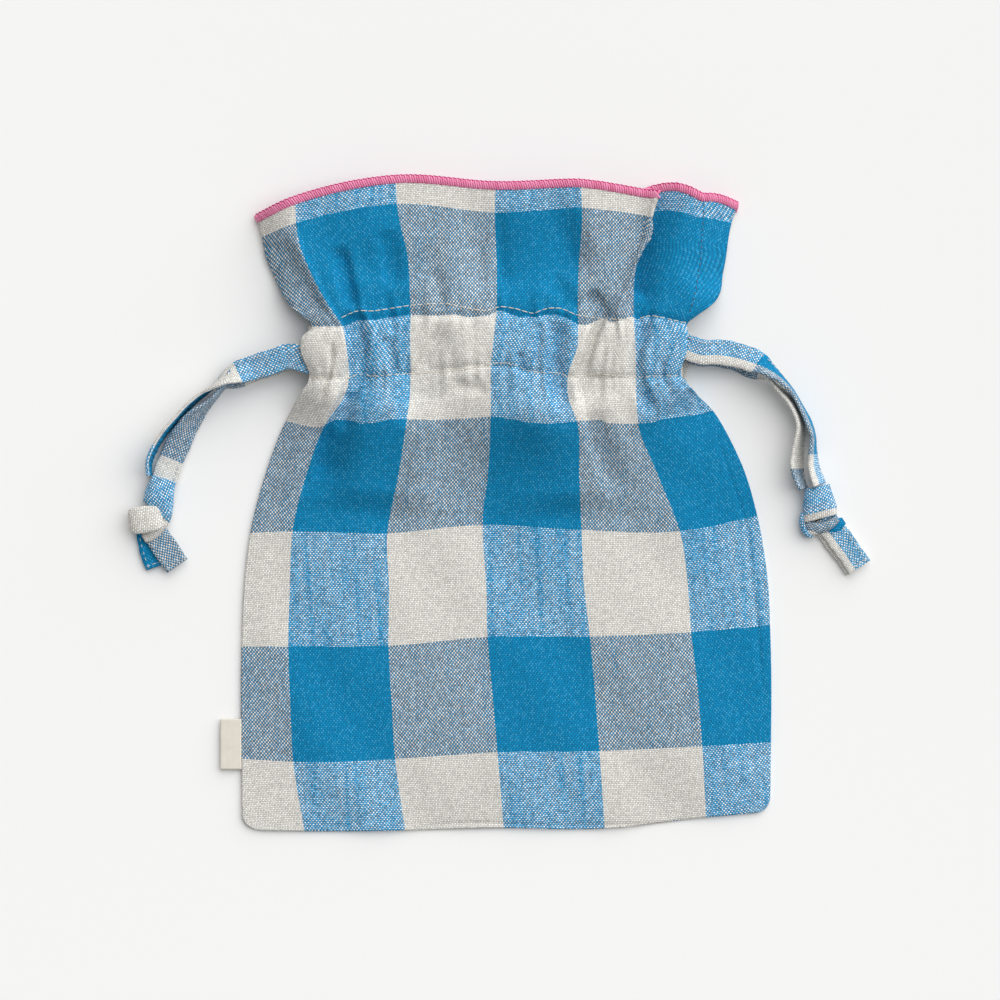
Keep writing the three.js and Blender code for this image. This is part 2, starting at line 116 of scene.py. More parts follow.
def through(knots, values, at):
    """Values on one smooth curve through the knots; each slope comes from the neighbours."""
    knots = np.asarray(knots, float)
    values = np.asarray(values, float)
    slopes = np.gradient(values, knots, axis=0)
    first = np.clip(np.searchsorted(knots, at, side="right") - 1, 0, len(knots) - 2)
    span = knots[first + 1] - knots[first]
    t = (np.clip(at, knots[0], knots[-1]) - knots[first]) / span
    if values.ndim > 1:
        span = span[..., None]
        t = t[..., None]
    start = (1 + 2 * t) * (1 - t) ** 2 * values[first] + t * (1 - t) ** 2 * span * slopes[first]
    end = t * t * (3 - 2 * t) * values[first + 1] + t * t * (t - 1) * span * slopes[first + 1]
    return start + end


def lengths_along(line):
    steps = np.linalg.norm(np.diff(line, axis=0), axis=1)
    return np.concatenate([[0.0], np.cumsum(steps)])


def even_line(line, spacing):
    """The same line, with points at an even spacing."""
    place = lengths_along(line)
    count = max(2, int(round(place[-1] / spacing)) + 1)
    at = np.linspace(0.0, place[-1], count)
    return np.stack([np.interp(at, place, line[:, axis]) for axis in range(line.shape[1])], axis=1)


def unit(vectors):
    return vectors / np.linalg.norm(vectors, axis=-1, keepdims=True)


print("line helpers: smooth step, quarter wave, curve through points, even line")

# %% Lofts
CLOTH_AXES = 3


def loft(points, cloth, rolled=False, capped=False, finish=0, yarns=None):
    """A grid of points as vertices and faces. Each face corner gets its place in the cloth, in millimetres.
    A rolled grid closes on itself, so its cloth has one column more than its points."""
    if yarns is not None:
        cloth = np.concatenate([cloth, np.zeros_like(cloth[..., :1]), yarns], axis=-1)
    rows, columns = points.shape[:2]
    last = columns if rolled else columns - 1
    row, column = np.indices((rows - 1, last)).reshape(2, -1)
    after = (column + 1) % columns
    corners = [(row, column, column), (row, after, column + 1),
               (row + 1, after, column + 1), (row + 1, column, column)]
    faces = np.stack([r * columns + c for r, c, _ in corners], axis=1).tolist()
    places = np.stack([cloth[r, k] for r, _, k in corners], axis=1).reshape(-1, cloth.shape[-1])
    if capped:
        start = list(range(columns))[::-1]
        end = [(rows - 1) * columns + c for c in range(columns)]
        faces += [start, end]
        places = np.concatenate([places, cloth[0, :columns][::-1], cloth[-1, :columns]])
    return {"points": points.reshape(-1, 3), "faces": faces, "cloth": places, "finish": finish}


def many_lofts(points, cloth, finish=0):
    """The same rolled and capped loft many times over: points are lines x rings x sides x 3."""
    lofts = [loft(*pair, rolled=True, capped=True) for pair in zip(points, cloth)]
    size = len(lofts[0]["points"])
    faces = [[corner + number * size for corner in face]
             for number, single in enumerate(lofts) for face in single["faces"]]
    places = np.concatenate([single["cloth"] for single in lofts])
    return {"points": points.reshape(-1, 3), "faces": faces, "cloth": places, "finish": finish}


def piece(name, parts, materials, outward=True):
    """One Blender object from several lofts, each with its own finish."""
    vertices, faces, cloth, finishes = [], [], [], []
    for part in parts:
        shift = sum(len(block) for block in vertices)
        vertices.append(part["points"])
        faces += [[corner + shift for corner in face] for face in part["faces"]]
        finishes += [part["finish"]] * len(part["faces"])
        cloth.append(part["cloth"])
    mesh = bpy.data.meshes.new(name)
    mesh.from_pydata(np.concatenate(vertices).tolist(), [], faces)
    for layer, first in (("cloth", 0), ("yarn", CLOTH_AXES)):
        blocks = [block[:, first:] if block.shape[1] > CLOTH_AXES else block for block in cloth]
        blocks = [block[:, :CLOTH_AXES] for block in blocks]
        blocks = [np.pad(block, ((0, 0), (0, CLOTH_AXES - block.shape[1]))) for block in blocks]
        corner_places = mesh.attributes.new(layer, "FLOAT_VECTOR", "CORNER")
        corner_places.data.foreach_set("vector", np.concatenate(blocks).astype(np.float32).ravel())
    mesh.polygons.foreach_set("material_index", finishes)
    mesh.polygons.foreach_set("use_smooth", [True] * len(faces))
    for material in materials:
        mesh.materials.append(material)
    if outward:
        shell = bmesh.new()
        shell.from_mesh(mesh)
        bmesh.ops.recalc_face_normals(shell, faces=shell.faces)
        shell.to_mesh(mesh)
        shell.free()
    made = bpy.data.objects.new(name, mesh)
    bpy.context.collection.objects.link(made)
    return made


print("mesh helpers: loft, many lofts, piece")

# %% Threads
THREAD_SIDES = 6
THREAD_TAPER = 0.45
STITCH_POINTS = 7
STITCH_RISE = 0.7
STITCH_DIP = 2.0


def threads(lines, references, radius, finish=0):
    """Round threads along many short lines at once, each with tapered ends."""
    heads = unit(np.gradient(lines, axis=1))
    across = unit(np.cross(heads, references[:, None, :]))
    rises = np.cross(across, heads)
    count, rings = lines.shape[:2]
    taper = np.ones(rings)
    taper[[0, -1]] = THREAD_TAPER
    angles = np.linspace(0.0, 2 * math.pi, THREAD_SIDES, endpoint=False)[:, None]
    turn = np.cos(angles) * across[:, :, None] + np.sin(angles) * rises[:, :, None]
    points = lines[:, :, None] + radius * taper[None, :, None, None] * turn
    along = np.cumsum(np.linalg.norm(np.diff(lines, axis=1, prepend=lines[:, :1]), axis=2), axis=1) / MM
    cloth = np.zeros((count, rings, THREAD_SIDES + 1, CLOTH_AXES))
    cloth[..., 0] = np.linspace(0.0, 1.0, THREAD_SIDES + 1)
    cloth[..., 1] = along[:, :, None]
    cloth[..., 2] = np.arange(count)[:, None, None]
    return many_lofts(points, cloth, finish)


def stitches(centres, heads, ups, length, radius, finish=0):
    """Machine stitches: each thread comes up through the cloth, lies on it and goes down again."""
    share = np.linspace(-1.0, 1.0, STITCH_POINTS)
    arch = radius * (STITCH_RISE - STITCH_DIP * np.abs(share) ** 3)
    lines = (centres[:, None]
             + heads[:, None] * (share * length / 2)[None, :, None]
             + ups[:, None] * arch[None, :, None])
    return threads(lines, ups, radius, finish=finish)


print("thread helpers: threads with", THREAD_SIDES, "sides, and stitches")

# %% [markdown]
# ## Writing shader maths
# A node tree of a woven cloth has dozens of Math nodes, and wiring them one by one hides the idea. This small
# class wraps one socket, so that plain Python operators add the nodes. A number alone never becomes a node.
# Colours go through Mix nodes, because a Math node would turn them grey.

# %% Socket class
class Yarn:
    """One shader socket that can be used in Python expressions."""

    def __init__(self, tree, socket=None):
        self.tree = tree
        self.socket = socket

    def node(self, kind, settings=None, inputs=None, output=0):
        """Any node: its type, its settings, which are set first, and its sockets' values or links."""
        made = self.tree.nodes.new(kind)
        for name, value in (settings or {}).items():
            setattr(made, name, value)
        for key, value in (inputs or {}).items():
            if isinstance(value, Yarn):
                self.tree.links.new(value.socket, made.inputs[key])
            else:
                made.inputs[key].default_value = value
        return Yarn(self.tree, made.outputs[output])

    def maths(self, operation, first, second=0.0):
        return self.node("ShaderNodeMath", {"operation": operation}, {0: first, 1: second})

    def __add__(self, other):
        return self.maths("ADD", self, other)

    def __radd__(self, other):
        return self.maths("ADD", other, self)

    def __sub__(self, other):
        return self.maths("SUBTRACT", self, other)

    def __rsub__(self, other):
        return self.maths("SUBTRACT", other, self)

    def __mul__(self, other):
        return self.maths("MULTIPLY", self, other)

    def __rmul__(self, other):
        return self.maths("MULTIPLY", other, self)

    def __truediv__(self, other):
        return self.maths("DIVIDE", self, other)

    def __mod__(self, other):
        return self.maths("FLOORED_MODULO", self, other)

    def __gt__(self, other):
        return self.maths("GREATER_THAN", self, other)

    def floor(self):
        return self.maths("FLOOR", self)

    def wave(self):
        return self.maths("SINE", self)

    def axis(self, letter):
        return self.node("ShaderNodeSeparateXYZ", inputs={0: self}, output=letter)

    def choose(self, low, high):
        """A mix of two colours, with this value as the factor."""
        settings = {"data_type": "RGBA", "clamp_factor": True}
        return self.node("ShaderNodeMix", settings, {0: self, 6: low, 7: high}, output=2)

    def tint(self, shade):
        """This colour times a value."""
        grey = self.node("ShaderNodeCombineColor", inputs={0: shade, 1: shade, 2: shade})
        settings = {"data_type": "RGBA", "blend_type": "MULTIPLY"}
        return self.node("ShaderNodeMix", settings, {0: 1.0, 6: self, 7: grey}, output=2)

    def vector(self, x, y, z=0.0):
        return self.node("ShaderNodeCombineXYZ", inputs={0: x, 1: y, 2: z})

    def scaled(self, size):
        """This vector times a number."""
        return self.node("ShaderNodeVectorMath", {"operation": "SCALE"}, {0: self, "Scale": size})

    def noise(self, place, detail=2.0):
        return self.node("ShaderNodeTexNoise", None, {"Vector": place, "Scale": 1.0, "Detail": detail})

    def chance(self, number):
        """A random value, the same for every point with the same number."""
        return self.node("ShaderNodeTexWhiteNoise", {"noise_dimensions": "1D"}, {"W": number})


def colour(red, green, blue):
    """A colour written as it shows on a screen, from 0 to 255, as Blender's linear values."""
    linear = [((c / 255 + 0.055) / 1.055) ** 2.4 if c > 10 else c / 255 / 12.92 for c in (red, green, blue)]
    return (*linear, 1.0)


CLOTH_SPECULAR = 0.25


def new_finish(name, roughness, sheen):
    """An empty material with its shader's constants set, and its cloth places."""
    material = bpy.data.materials.new(name)
    material.use_nodes = True
    shader = material.node_tree.nodes["Principled BSDF"]
    shader.inputs["Roughness"].default_value = roughness
    shader.inputs["Sheen Weight"].default_value = sheen
    shader.inputs["Specular IOR Level"].default_value = CLOTH_SPECULAR
    cloth = Yarn(material.node_tree).node("ShaderNodeAttribute", {"attribute_name": "cloth"}, output="Vector")
    return material, shader, cloth


def feed(shader, yarn, socket):
    yarn.tree.links.new(yarn.socket, shader.inputs[socket])


def bump(shader, height, strength, depth):
    """Raises the surface where a value is high; depth is what a rise of one stands for, in millimetres."""
    settings = {"Strength": strength, "Distance": depth * MM, "Height": height}
    feed(shader, height.node("ShaderNodeBump", None, settings), "Normal")


print("shader class ready")

# %% [markdown]
# ## Checked linen
# The cloth is a plain weave: blue and natural yarns cross one over, one under. Bands of blue warp cross bands
# of blue weft, so a square is deep blue, pale blue, grey blue or natural. A painted picture of checks would
# blur close up, so the weave itself is worked out: each yarn has its number, the sum of two numbers says
# which yarn is on top, and noise along each yarn gives the slubs of real linen. Where the colours cross, a
# natural yarn's low edges turn blue: partly the blue yarn showing in the gaps, partly painted blue light
# reflected from it.

# %% Linen finish
WARP_PITCH = 0.61
WEFT_PITCH = 0.72
WARP_BAND = 38.0
WEFT_BAND = 43.0
BLUE_WARP = colour(4, 149, 205)
BLUE_RUBBED = colour(70, 163, 207)
BLUE_WEFT = colour(2, 121, 168)
NATURAL_WARP = colour(219, 215, 207)
NATURAL_WEFT = colour(240, 239, 234)
STRAW_FLECK = colour(150, 126, 98)
NUMBER_SHIFT = 4000
# Noise is stretched along the yarns: its steps to a yarn's number, and to a millimetre along it.
SLUB_STEPS = (3.7, 0.3)
STREAK_STEPS = (0.23, 0.02)
NUB_STEPS = (5.3, 0.045)
FLECK_STEPS = (0.9, 2.2)
DRIFT_STEP, DRIFT = 0.11, 0.5
SWAY_STEP, SWAY = 0.9, 0.3
# Yarns that cross the other colour are thinner and less even than the rest.
THIN_WEFT = 0.52
THIN_WARP = 0.02
SLUB_WIDTH, CROSSED_SLUB = 0.2, 0.9
STREAK_WIDTH = 1.6
NUB_LEVEL, NUB_WIDTH, NUB_TONE = 0.7, 0.5, 0.1
# Where they cross, a natural yarn's low edges turn blue, partly the blue yarn showing in the gaps and partly
# painted blue light reflected from it, and a blue yarn has a little natural fuzz.
GAP_AND_BOUNCE_BLUE, GREY_SHARE = 0.75, 0.35
FUZZ = 0.04
FLECK_LEVEL, FLECK_SHARE = 0.68, 0.6
RUBBED_LEVEL, RUBBED_SHARE = 0.22, 0.45
TONE, TONE_SPREAD, SLUB_TONE = 0.98, 0.06, 0.3
UNEVEN, CROSSED_UNEVEN = 0.3, 0.35
YARN_DIP = 0.55
GAP_SHADE, TOP_SHADE = 0.42, 0.76


def linen(name, checked=True, thin_weft=THIN_WEFT):
    """Plain-woven linen, in checks or all natural."""
    material, shader, cloth = new_finish(name, 0.9, 0.0)
    yarns = cloth.node("ShaderNodeAttribute", {"attribute_name": "yarn"}, output="Vector")
    drift = DRIFT * (cloth.noise(yarns.scaled(DRIFT_STEP)) - 0.5)
    sway = SWAY * (cloth.noise(yarns.scaled(SWAY_STEP)) - 0.5)
    warp = yarns.axis("X") + drift + sway
    weft = yarns.axis("Y") + drift - sway
    warp_number = (warp / WARP_PITCH).floor() + NUMBER_SHIFT
    weft_number = (weft / WEFT_PITCH).floor() + NUMBER_SHIFT
    from_warp = 2 * (warp / WARP_PITCH + NUMBER_SHIFT - warp_number) - 1
    from_weft = 2 * (weft / WEFT_PITCH + NUMBER_SHIFT - weft_number) - 1
    apart, along = SLUB_STEPS
    warp_slub = cloth.noise(cloth.vector(warp_number * apart, weft * along)) - 0.5
    weft_slub = cloth.noise(cloth.vector(warp * along, weft_number * apart, 9.0)) - 0.5
    warp_blue = 1 - (cloth.axis("X") / WARP_BAND).floor() % 2 if checked else 0 * warp
    weft_blue = 1 - (cloth.axis("Y") / WEFT_BAND).floor() % 2 if checked else 0 * weft
    pale = warp_blue * (1 - weft_blue)
    grey = weft_blue * (1 - warp_blue)

    # How wide each yarn is, and which of the two is on top.
    apart, along = STREAK_STEPS
    streak = STREAK_WIDTH * (cloth.noise(cloth.vector(warp_number * apart, weft * along, 17.0)) - 0.5)
    apart, along = NUB_STEPS
    nub = cloth.noise(cloth.vector(warp * along, weft_number * apart, 5.0)) > NUB_LEVEL
    weft_width = (1 - thin_weft * pale + (SLUB_WIDTH + CROSSED_SLUB * pale) * weft_slub
                  + pale * (streak + NUB_WIDTH * nub))
    warp_width = 1 - THIN_WARP * grey + (SLUB_WIDTH + CROSSED_SLUB * grey) * warp_slub - grey * streak
    over = (warp_number + weft_number) % 2
    warp_round = 1 - from_warp * from_warp
    weft_round = 1 - from_weft * from_weft
    weft_shows = weft_round > 1 - weft_width * weft_width
    warp_hidden = 1 - warp_width * warp_width > warp_round
    weft_on_top = over * weft_shows + (1 - over) * warp_hidden
    warp_hill = warp_round * (1 - YARN_DIP + YARN_DIP * weft_round)
    weft_hill = weft_round * (1 - YARN_DIP + YARN_DIP * warp_round)
    hill = warp_hill + weft_on_top * (weft_hill - warp_hill)

    # The colour and tone of each yarn, and what shows.
    crossing = cloth.chance(warp_number * 1.37 + weft_number * 0.731) - 0.5
    uneven = TONE + (UNEVEN + CROSSED_UNEVEN * (pale + grey)) * crossing
    warp_tone = uneven + TONE_SPREAD * cloth.chance(warp_number) + SLUB_TONE * warp_slub
    weft_tone = uneven + TONE_SPREAD * cloth.chance(weft_number) + SLUB_TONE * weft_slub + NUB_TONE * nub
    across, along = FLECK_STEPS
    straw = FLECK_SHARE * (cloth.noise(cloth.vector(warp * across, weft * along, 3.0), 3.0) > FLECK_LEVEL)
    natural_warp = straw.choose(NATURAL_WARP, STRAW_FLECK)
    natural_weft = straw.choose(NATURAL_WEFT, STRAW_FLECK)
    blue_warp = (RUBBED_SHARE * (crossing > RUBBED_LEVEL)).choose(BLUE_WARP, BLUE_RUBBED)
    warp_colour = warp_blue.choose(natural_warp, blue_warp).tint(warp_tone)
    weft_colour = weft_blue.choose(natural_weft, BLUE_WEFT).tint(weft_tone)
    # Painted reflected blue light, together with the blue yarn in the gaps, strongest where a yarn is low.
    blue_gap_and_bounce = GAP_AND_BOUNCE_BLUE * (1 - hill)
    under_warp = pale * FUZZ + GREY_SHARE * grey * blue_gap_and_bounce
    over_warp = 1 - pale * blue_gap_and_bounce - grey * FUZZ
    weft_share = under_warp + weft_on_top * (over_warp - under_warp)
    # Painted shade: each yarn is darker in the gaps between yarns and lighter on its top.
    shown = weft_share.choose(warp_colour, weft_colour).tint(GAP_SHADE + TOP_SHADE * hill)
    feed(shader, shown, "Base Color")
    bump(shader, hill, strength=0.5, depth=0.16)
    return material


linen_finish = linen("checked_linen")
tape_finish = linen("checked_tape", thin_weft=0.4)
facing_finish = linen("natural_facing", checked=False)
print("linen nodes:", len(linen_finish.node_tree.nodes))

# %% [markdown]
# ## Sewing thread
# Sewing thread is two or three plies twisted together, so close up it has slanting stripes of light and
# shade. The thread's own length and turn are kept with its mesh, and one sine of the two draws the plies:
# painted shade in the grooves between them, and a bump. That costs nothing in geometry and still follows
# every bend.

# %% Thread finish
PLY_LENGTH = 0.9
PLY_SHADE = 0.34
WORN_SHADE = 0.3


def thread(name, light, dark):
    material, shader, cloth = new_finish(name, 0.6, 0.2)
    ply = (cloth.axis("Y") * (2 * math.pi / PLY_LENGTH) + cloth.axis("X") * (4 * math.pi)).wave()
    worn = cloth.chance(cloth.axis("Z")) - 0.5
    # Painted shade in the grooves between plies, and a random tone for each thread.
    shade = 0.5 + PLY_SHADE * ply + WORN_SHADE * worn
    feed(shader, shade.choose(dark, light), "Base Color")
    bump(shader, ply, strength=0.5, depth=0.06)
    return material


stitch_finish = thread("natural_stitch_thread", colour(240, 235, 224), colour(212, 202, 184))
seam_finish = thread("blue_seam_thread", colour(96, 128, 160), colour(30, 52, 84))
tape_thread = thread("pale_tape_thread", colour(206, 212, 212), colour(160, 178, 190))
edge_finish = thread("white_edge_thread", colour(246, 244, 236), colour(178, 182, 186))
print("thread finishes: natural, blue, pale and white")

# %% [markdown]
# ## The drawstrings
# Each drawstring is a strip of the same linen, folded and sewn along one edge. Its two strands leave a slit,
# turn on edge, and end in one knot. A curve with a flat bevel would twist where it likes, so each strand is
# lofted along listed points that give its climb from the table and its roll. The points follow the
# photograph, close to the route of the CAD solids.

# %% Routes of the strands
NECK_HALF = 72.75
SLIT_ALONG = 55.45
TABLE_GAP = 0.3
TAPE_WIDTH = 9.5
CAD_TAPE_THICKNESS = 1.2
FRONT_TOP = 9.2
BACK_TOP = 1.8
RUN_ALONG = {"left": 52.0, "right": 62.1}
SIDE = {"left": -1, "right": 1}

# Each point, from the slit: across, along, climb from the table (0) to the channel (1), roll in degrees.
STRAND_ROUTES = {
    ("left", "front"): [
        (-5.5, -0.2, 0.98, 0), (-10.5, -1.9, 0.89, 0), (-17.2, -4.0, 0.71, 6), (-23.6, -6.0, 0.55, 28),
        (-30.4, -9.2, 0.42, 70), (-35.8, -12.8, 0.08, 92), (-41.9, -17.6, 0, 97), (-48.0, -24.0, 0, 97),
        (-52.8, -29.6, 0, 97), (-56.0, -34.8, 0, 97), (-58.1, -40.3, 0, 96), (-58.0, -45.2, 0, 92)],
    ("left", "back"): [
        (-5.5, -0.5, 0.87, 0), (-10.5, -2.2, 0.47, 0), (-17.3, -4.3, 0.1, -4), (-22.0, -6.2, 0, -18),
        (-26.4, -8.4, 0, -46), (-29.7, -10.8, 0, -80), (-32.8, -14.7, 0, -86), (-35.8, -18.0, 0, -80),
        (-39.6, -21.6, 0, -62), (-43.3, -26.0, 0, -42), (-46.7, -31.9, 0, -22), (-49.6, -38.3, 0.2, -9),
        (-51.5, -43.2, 0.45, -5), (-52.6, -47.2, 0.6, -4)],
    ("right", "front"): [
        (5.5, 1.4, 0.98, 0), (11.5, 1.4, 0.87, -2), (18.5, 0.2, 0.71, -6), (24.6, -1.9, 0.6, -20),
        (30.2, -5.1, 0.5, -56), (35.4, -9.2, 0.34, -76), (39.4, -13.8, 0.1, -82), (42.4, -18.9, 0, -82),
        (45.2, -24.4, 0, -78), (47.0, -29.8, 0, -80), (47.1, -36.0, 0, -74), (47.4, -41.8, 0, -64),
        (49.6, -48.6, 0.01, -60)],
    ("right", "back"): [
        (5.5, 1.0, 0.87, 0), (10.5, 0.9, 0.47, 0), (18.0, -0.6, 0.1, 0), (24.0, -3.6, 0, 26),
        (29.2, -7.4, 0, 84), (34.2, -12.2, 0, 103), (38.4, -16.8, 0, 106), (41.1, -21.5, 0, 107),
        (42.5, -27.0, 0, 108), (41.9, -31.7, 0, 112), (41.2, -36.6, 0, 119), (41.0, -41.5, 0, 120),
        (41.8, -46.0, 0.07, 114), (43.6, -50.2, 0.2, 108)],
}
TAIL_ROUTES = {
    ("left", "upper"): [(-55.6, -67.2, 1, 0), (-51.6, -73.2, 1, 0), (-47.5, -79.2, 1, 0)],
    ("left", "lower"): [(-58.3, -67.4, 0, 0), (-57.0, -73.4, 0, 0), (-54.9, -79.4, 0, 0)],
    ("right", "upper"): [(55.0, -65.9, 1, 0), (59.9, -72.4, 1, 0), (65.0, -79.8, 1, 0)],
    ("right", "lower"): [(54.2, -66.8, 0, 0), (59.0, -73.0, 0, 0), (64.0, -80.0, 0, 0)],
}
LEAD_IN = ((-8.0, 0.95), (-2.5, 0.62))
ROUTE_STEP = 0.7


def lead_in(hand):
    """Points inside the casing that join a strand to its run, in the same terms as the routes."""
    jog = RUN_ALONG[hand] - SLIT_ALONG
    return [(SIDE[hand] * across, share * jog, 1, 0) for across, share in LEAD_IN]


def laid_route(marks, hand, top):
    """Centre points in metres and rolls in radians, close together along a route."""
    across, along, climb, roll = np.array(marks, float).T
    turn = np.radians(roll)
    lowest = TABLE_GAP + climb * (top - TABLE_GAP)
    height = lowest + TAPE_WIDTH / 2 * np.abs(np.sin(turn)) + CAD_TAPE_THICKNESS / 2 * np.abs(np.cos(turn))
    points = np.stack([SIDE[hand] * NECK_HALF + across, SLIT_ALONG + along, height, turn], axis=1)
    place = lengths_along(points[:, :3])
    line = through(place, points, np.linspace(0.0, place[-1], int(place[-1] / ROUTE_STEP) + 2))
    return line[:, :3] * MM, line[:, 3]


print("strand routes:", len(STRAND_ROUTES), "tail routes:", len(TAIL_ROUTES))

# %% [markdown]
# ## A folded tape
# Cut across, the tape is a hairpin: two layers, a round fold on one edge, and an open edge where a row of
# stitches holds the layers together. The section below goes once round that outline, starting in the open
# edge, so the distance round it is also the distance across the flat cloth.

# %% Tape maker
TAPE_THICKNESS = 1.5
FACE_MARKS = ((0.95, 0.0), (1.0, 0.25), (1.0, 0.7), (0.93, 0.98), (0.7, 1.0), (0.35, 0.95), (0.0, 0.92),
              (-0.35, 0.95), (-0.7, 1.0), (-0.9, 0.93), (-0.98, 0.5))
FOLD_MARK = ((-1.0, 0.0),)
TAPE_MARKS = np.array(FACE_MARKS + FOLD_MARK + tuple((a, -r) for a, r in FACE_MARKS[:0:-1]))
EDGE_STITCH_INSET = 0.74
EDGE_STITCH_PITCH = 2.3
EDGE_STITCH = (1.5 * MM, 0.17 * MM)
END_STITCH = (1.7 * MM, 0.2 * MM)
END_STITCHES = 4
END_STITCH_REACH = 0.72
TAPE_WAVES = ((0.025, 0.55, 1.3), (0.015, 1.37, 0.0))
END_ROW = 3


def closed(ring):
    """A ring of points with its first point once more at the end."""
    return np.concatenate([ring, ring[:1]])


def painted(paint, along, around):
    """Places in the cloth on a grid of lengths along and round a tape, in millimetres."""
    return np.stack(np.broadcast_arrays(*paint(along[:, None], around[None, :])), axis=-1)


def tape_frame(line, roll):
    """The directions along, across and out of a tape at each point of its line."""
    heads = unit(np.gradient(line, axis=0))
    sides = unit(np.cross(heads, UP))
    rises = np.cross(sides, heads)
    cos, sin = np.cos(roll)[:, None], np.sin(roll)[:, None]
    return heads, sides * cos + np.cross(heads, sides) * sin, rises * cos + np.cross(heads, rises) * sin


def tape_parts(line, roll, paint, open_edge=1, width=TAPE_WIDTH, stitch_ends=False):
    """A tape along a line. paint turns lengths along and round the tape into places in the cloth."""
    heads, across, out = tape_frame(line, roll)
    along = lengths_along(line) / MM
    wave = 1 + sum(size * np.sin(along * pace + phase) for size, pace, phase in TAPE_WAVES)
    half = width / 2 * wave[:, None, None] * MM
    marks = TAPE_MARKS
    points = (line[:, None]
              + open_edge * across[:, None] * marks[None, :, :1] * half
              + out[:, None] * marks[None, :, 1:] * (TAPE_THICKNESS / 2 * MM))
    around = lengths_along(closed(marks) * (width / 2, TAPE_THICKNESS / 2))
    tape = loft(points, painted(paint, along, around), rolled=True, capped=True)
    count = int(along[-1] / EDGE_STITCH_PITCH)
    picks = np.linspace(2, len(line) - END_ROW, count).astype(int)
    rows = []
    for face in (1, -1):
        centres = (line[picks] + open_edge * across[picks] * (EDGE_STITCH_INSET * width / 2 * MM)
                   + face * out[picks] * (TAPE_THICKNESS / 2 * MM))
        rows.append(stitches(centres, heads[picks], face * out[picks], *EDGE_STITCH, finish=1))
    if stitch_ends:
        ends = np.full(END_STITCHES, len(line) - END_ROW)
        shares = np.linspace(-END_STITCH_REACH, END_STITCH_REACH, END_STITCHES)[:, None]
        centres = (line[ends] + shares * across[ends] * (width / 2 * MM)
                   + out[ends] * (TAPE_THICKNESS / 2 * MM))
        rows.append(stitches(centres, across[ends], out[ends], *END_STITCH, finish=1))
    return [tape] + rows


EDGE_THREAD = {"left": tape_thread, "right": edge_finish}
print("points round a tape:", len(TAPE_MARKS))

# %% [markdown]
# ## The check along each strand
# Where the strip was cut decides which squares show on it. Each strand below says where its first millimetre
# lay in the flat cloth: the left front one shows pale blue, then natural, then blue again, and the right
# front one has a natural band along its folded edge.

# %% Strands
CLOTH_PER_TAPE = WARP_BAND / WEFT_BAND
STRIP_FOLD = 11.2


def left_front_paint(along, around):
    """Pale blue, natural, pale blue again on the outer face, and deep blue on the inner one."""
    outer = WARP_BAND + (along - 34.0) * CLOTH_PER_TAPE
    return np.where(around < STRIP_FOLD, outer, 5.0 + 0.3 * along), 160.8 + around


STRAND_PAINT = {
    ("left", "front"): left_front_paint,
    ("left", "back"): lambda along, around: (46.0 + around, 129.0 + along - 76.0),
    ("right", "front"): lambda along, around: (WARP_BAND + around - 6.6, 129.0 + along + 7.0),
    ("right", "back"): lambda along, around: (46.0 + around, 129.0 + along - 38.0),
}
OPEN_EDGE = {("left", "front"): 1, ("left", "back"): -1, ("right", "front"): -1, ("right", "back"): 1}
TOPS = {"front": FRONT_TOP, "back": BACK_TOP}

strand_lines = {}
for (hand, layer), marks in STRAND_ROUTES.items():
    line, roll = laid_route(lead_in(hand) + marks, hand, TOPS[layer])
    parts = tape_parts(line, roll, STRAND_PAINT[hand, layer], OPEN_EDGE[hand, layer])
    strand = piece(f"{hand}_{layer}_strand_tape", parts, [tape_finish, EDGE_THREAD[hand]])
    level = line[0][2]
    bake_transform(strand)
    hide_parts(f"{hand}_drawstring_{layer}_strand")
    strand_lines[hand, layer] = line
    print(strand.name, f"{lengths_along(line)[-1] / MM:.1f} mm")

# %% [markdown]
# ## The knots
# At its end each pair of strands is tied in one overhand knot. From above it shows a collar, where the tape
# goes round both strands, and a turn that crosses over it. Real rope knots can be swept along their full
# tangle, but a flat tape crumples in a knot, so the collar is a flattened sleeve, and the turn is a closed
# band or a sleeve drawn round it, each with its own creases.

# %% Sleeves and turns
RING_POINTS = 40
SLEEVE_RINGS = 26
TURN_STEPS = 56
TURN_THICKNESS = 0.6
TURN_BOW = 0.55


def squared(value, power):
    """A sine or cosine pushed outward, which turns a circle into a rounded box."""
    return np.sign(value) * np.abs(value) ** power


def sleeve(rings, paint, crease):
    """A flattened sleeve. Each ring: pixel column and row, half width, half thickness, height and slant."""
    values = np.array(rings, float)
    place = lengths_along(values[:, :2])
    rows = through(place, values, np.linspace(0.0, place[-1], SLEEVE_RINGS))
    centres = np.column_stack([spots(rows[:, :2]), rows[:, 4] * MM])
    heads = unit(np.gradient(centres, axis=0) * (1, 1, 0))
    slant = np.radians(rows[:, 5])[:, None]
    sides = np.cross(heads, UP) * np.cos(slant) + heads * np.sin(slant)
    angles = np.linspace(0.0, 2 * math.pi, RING_POINTS, endpoint=False)
    flat = squared(np.cos(angles), 0.72)
    thick = squared(np.sin(angles), 0.8)
    share = np.linspace(0.0, 1.0, len(rows))[:, None]
    fold = 1 + crease * np.sin(3 * angles[None, :] + 5.0 * share) * np.sin(math.pi * share)
    points = (centres[:, None] + sides[:, None] * (flat * fold)[:, :, None] * rows[:, 2][:, None, None] * MM
              + UP * (thick * fold)[:, :, None] * rows[:, 3][:, None, None] * MM)
    around = lengths_along(closed(points[len(rows) // 2])) / MM
    cloth = painted(paint, lengths_along(centres) / MM, around)
    return loft(points, cloth, rolled=True, capped=True)


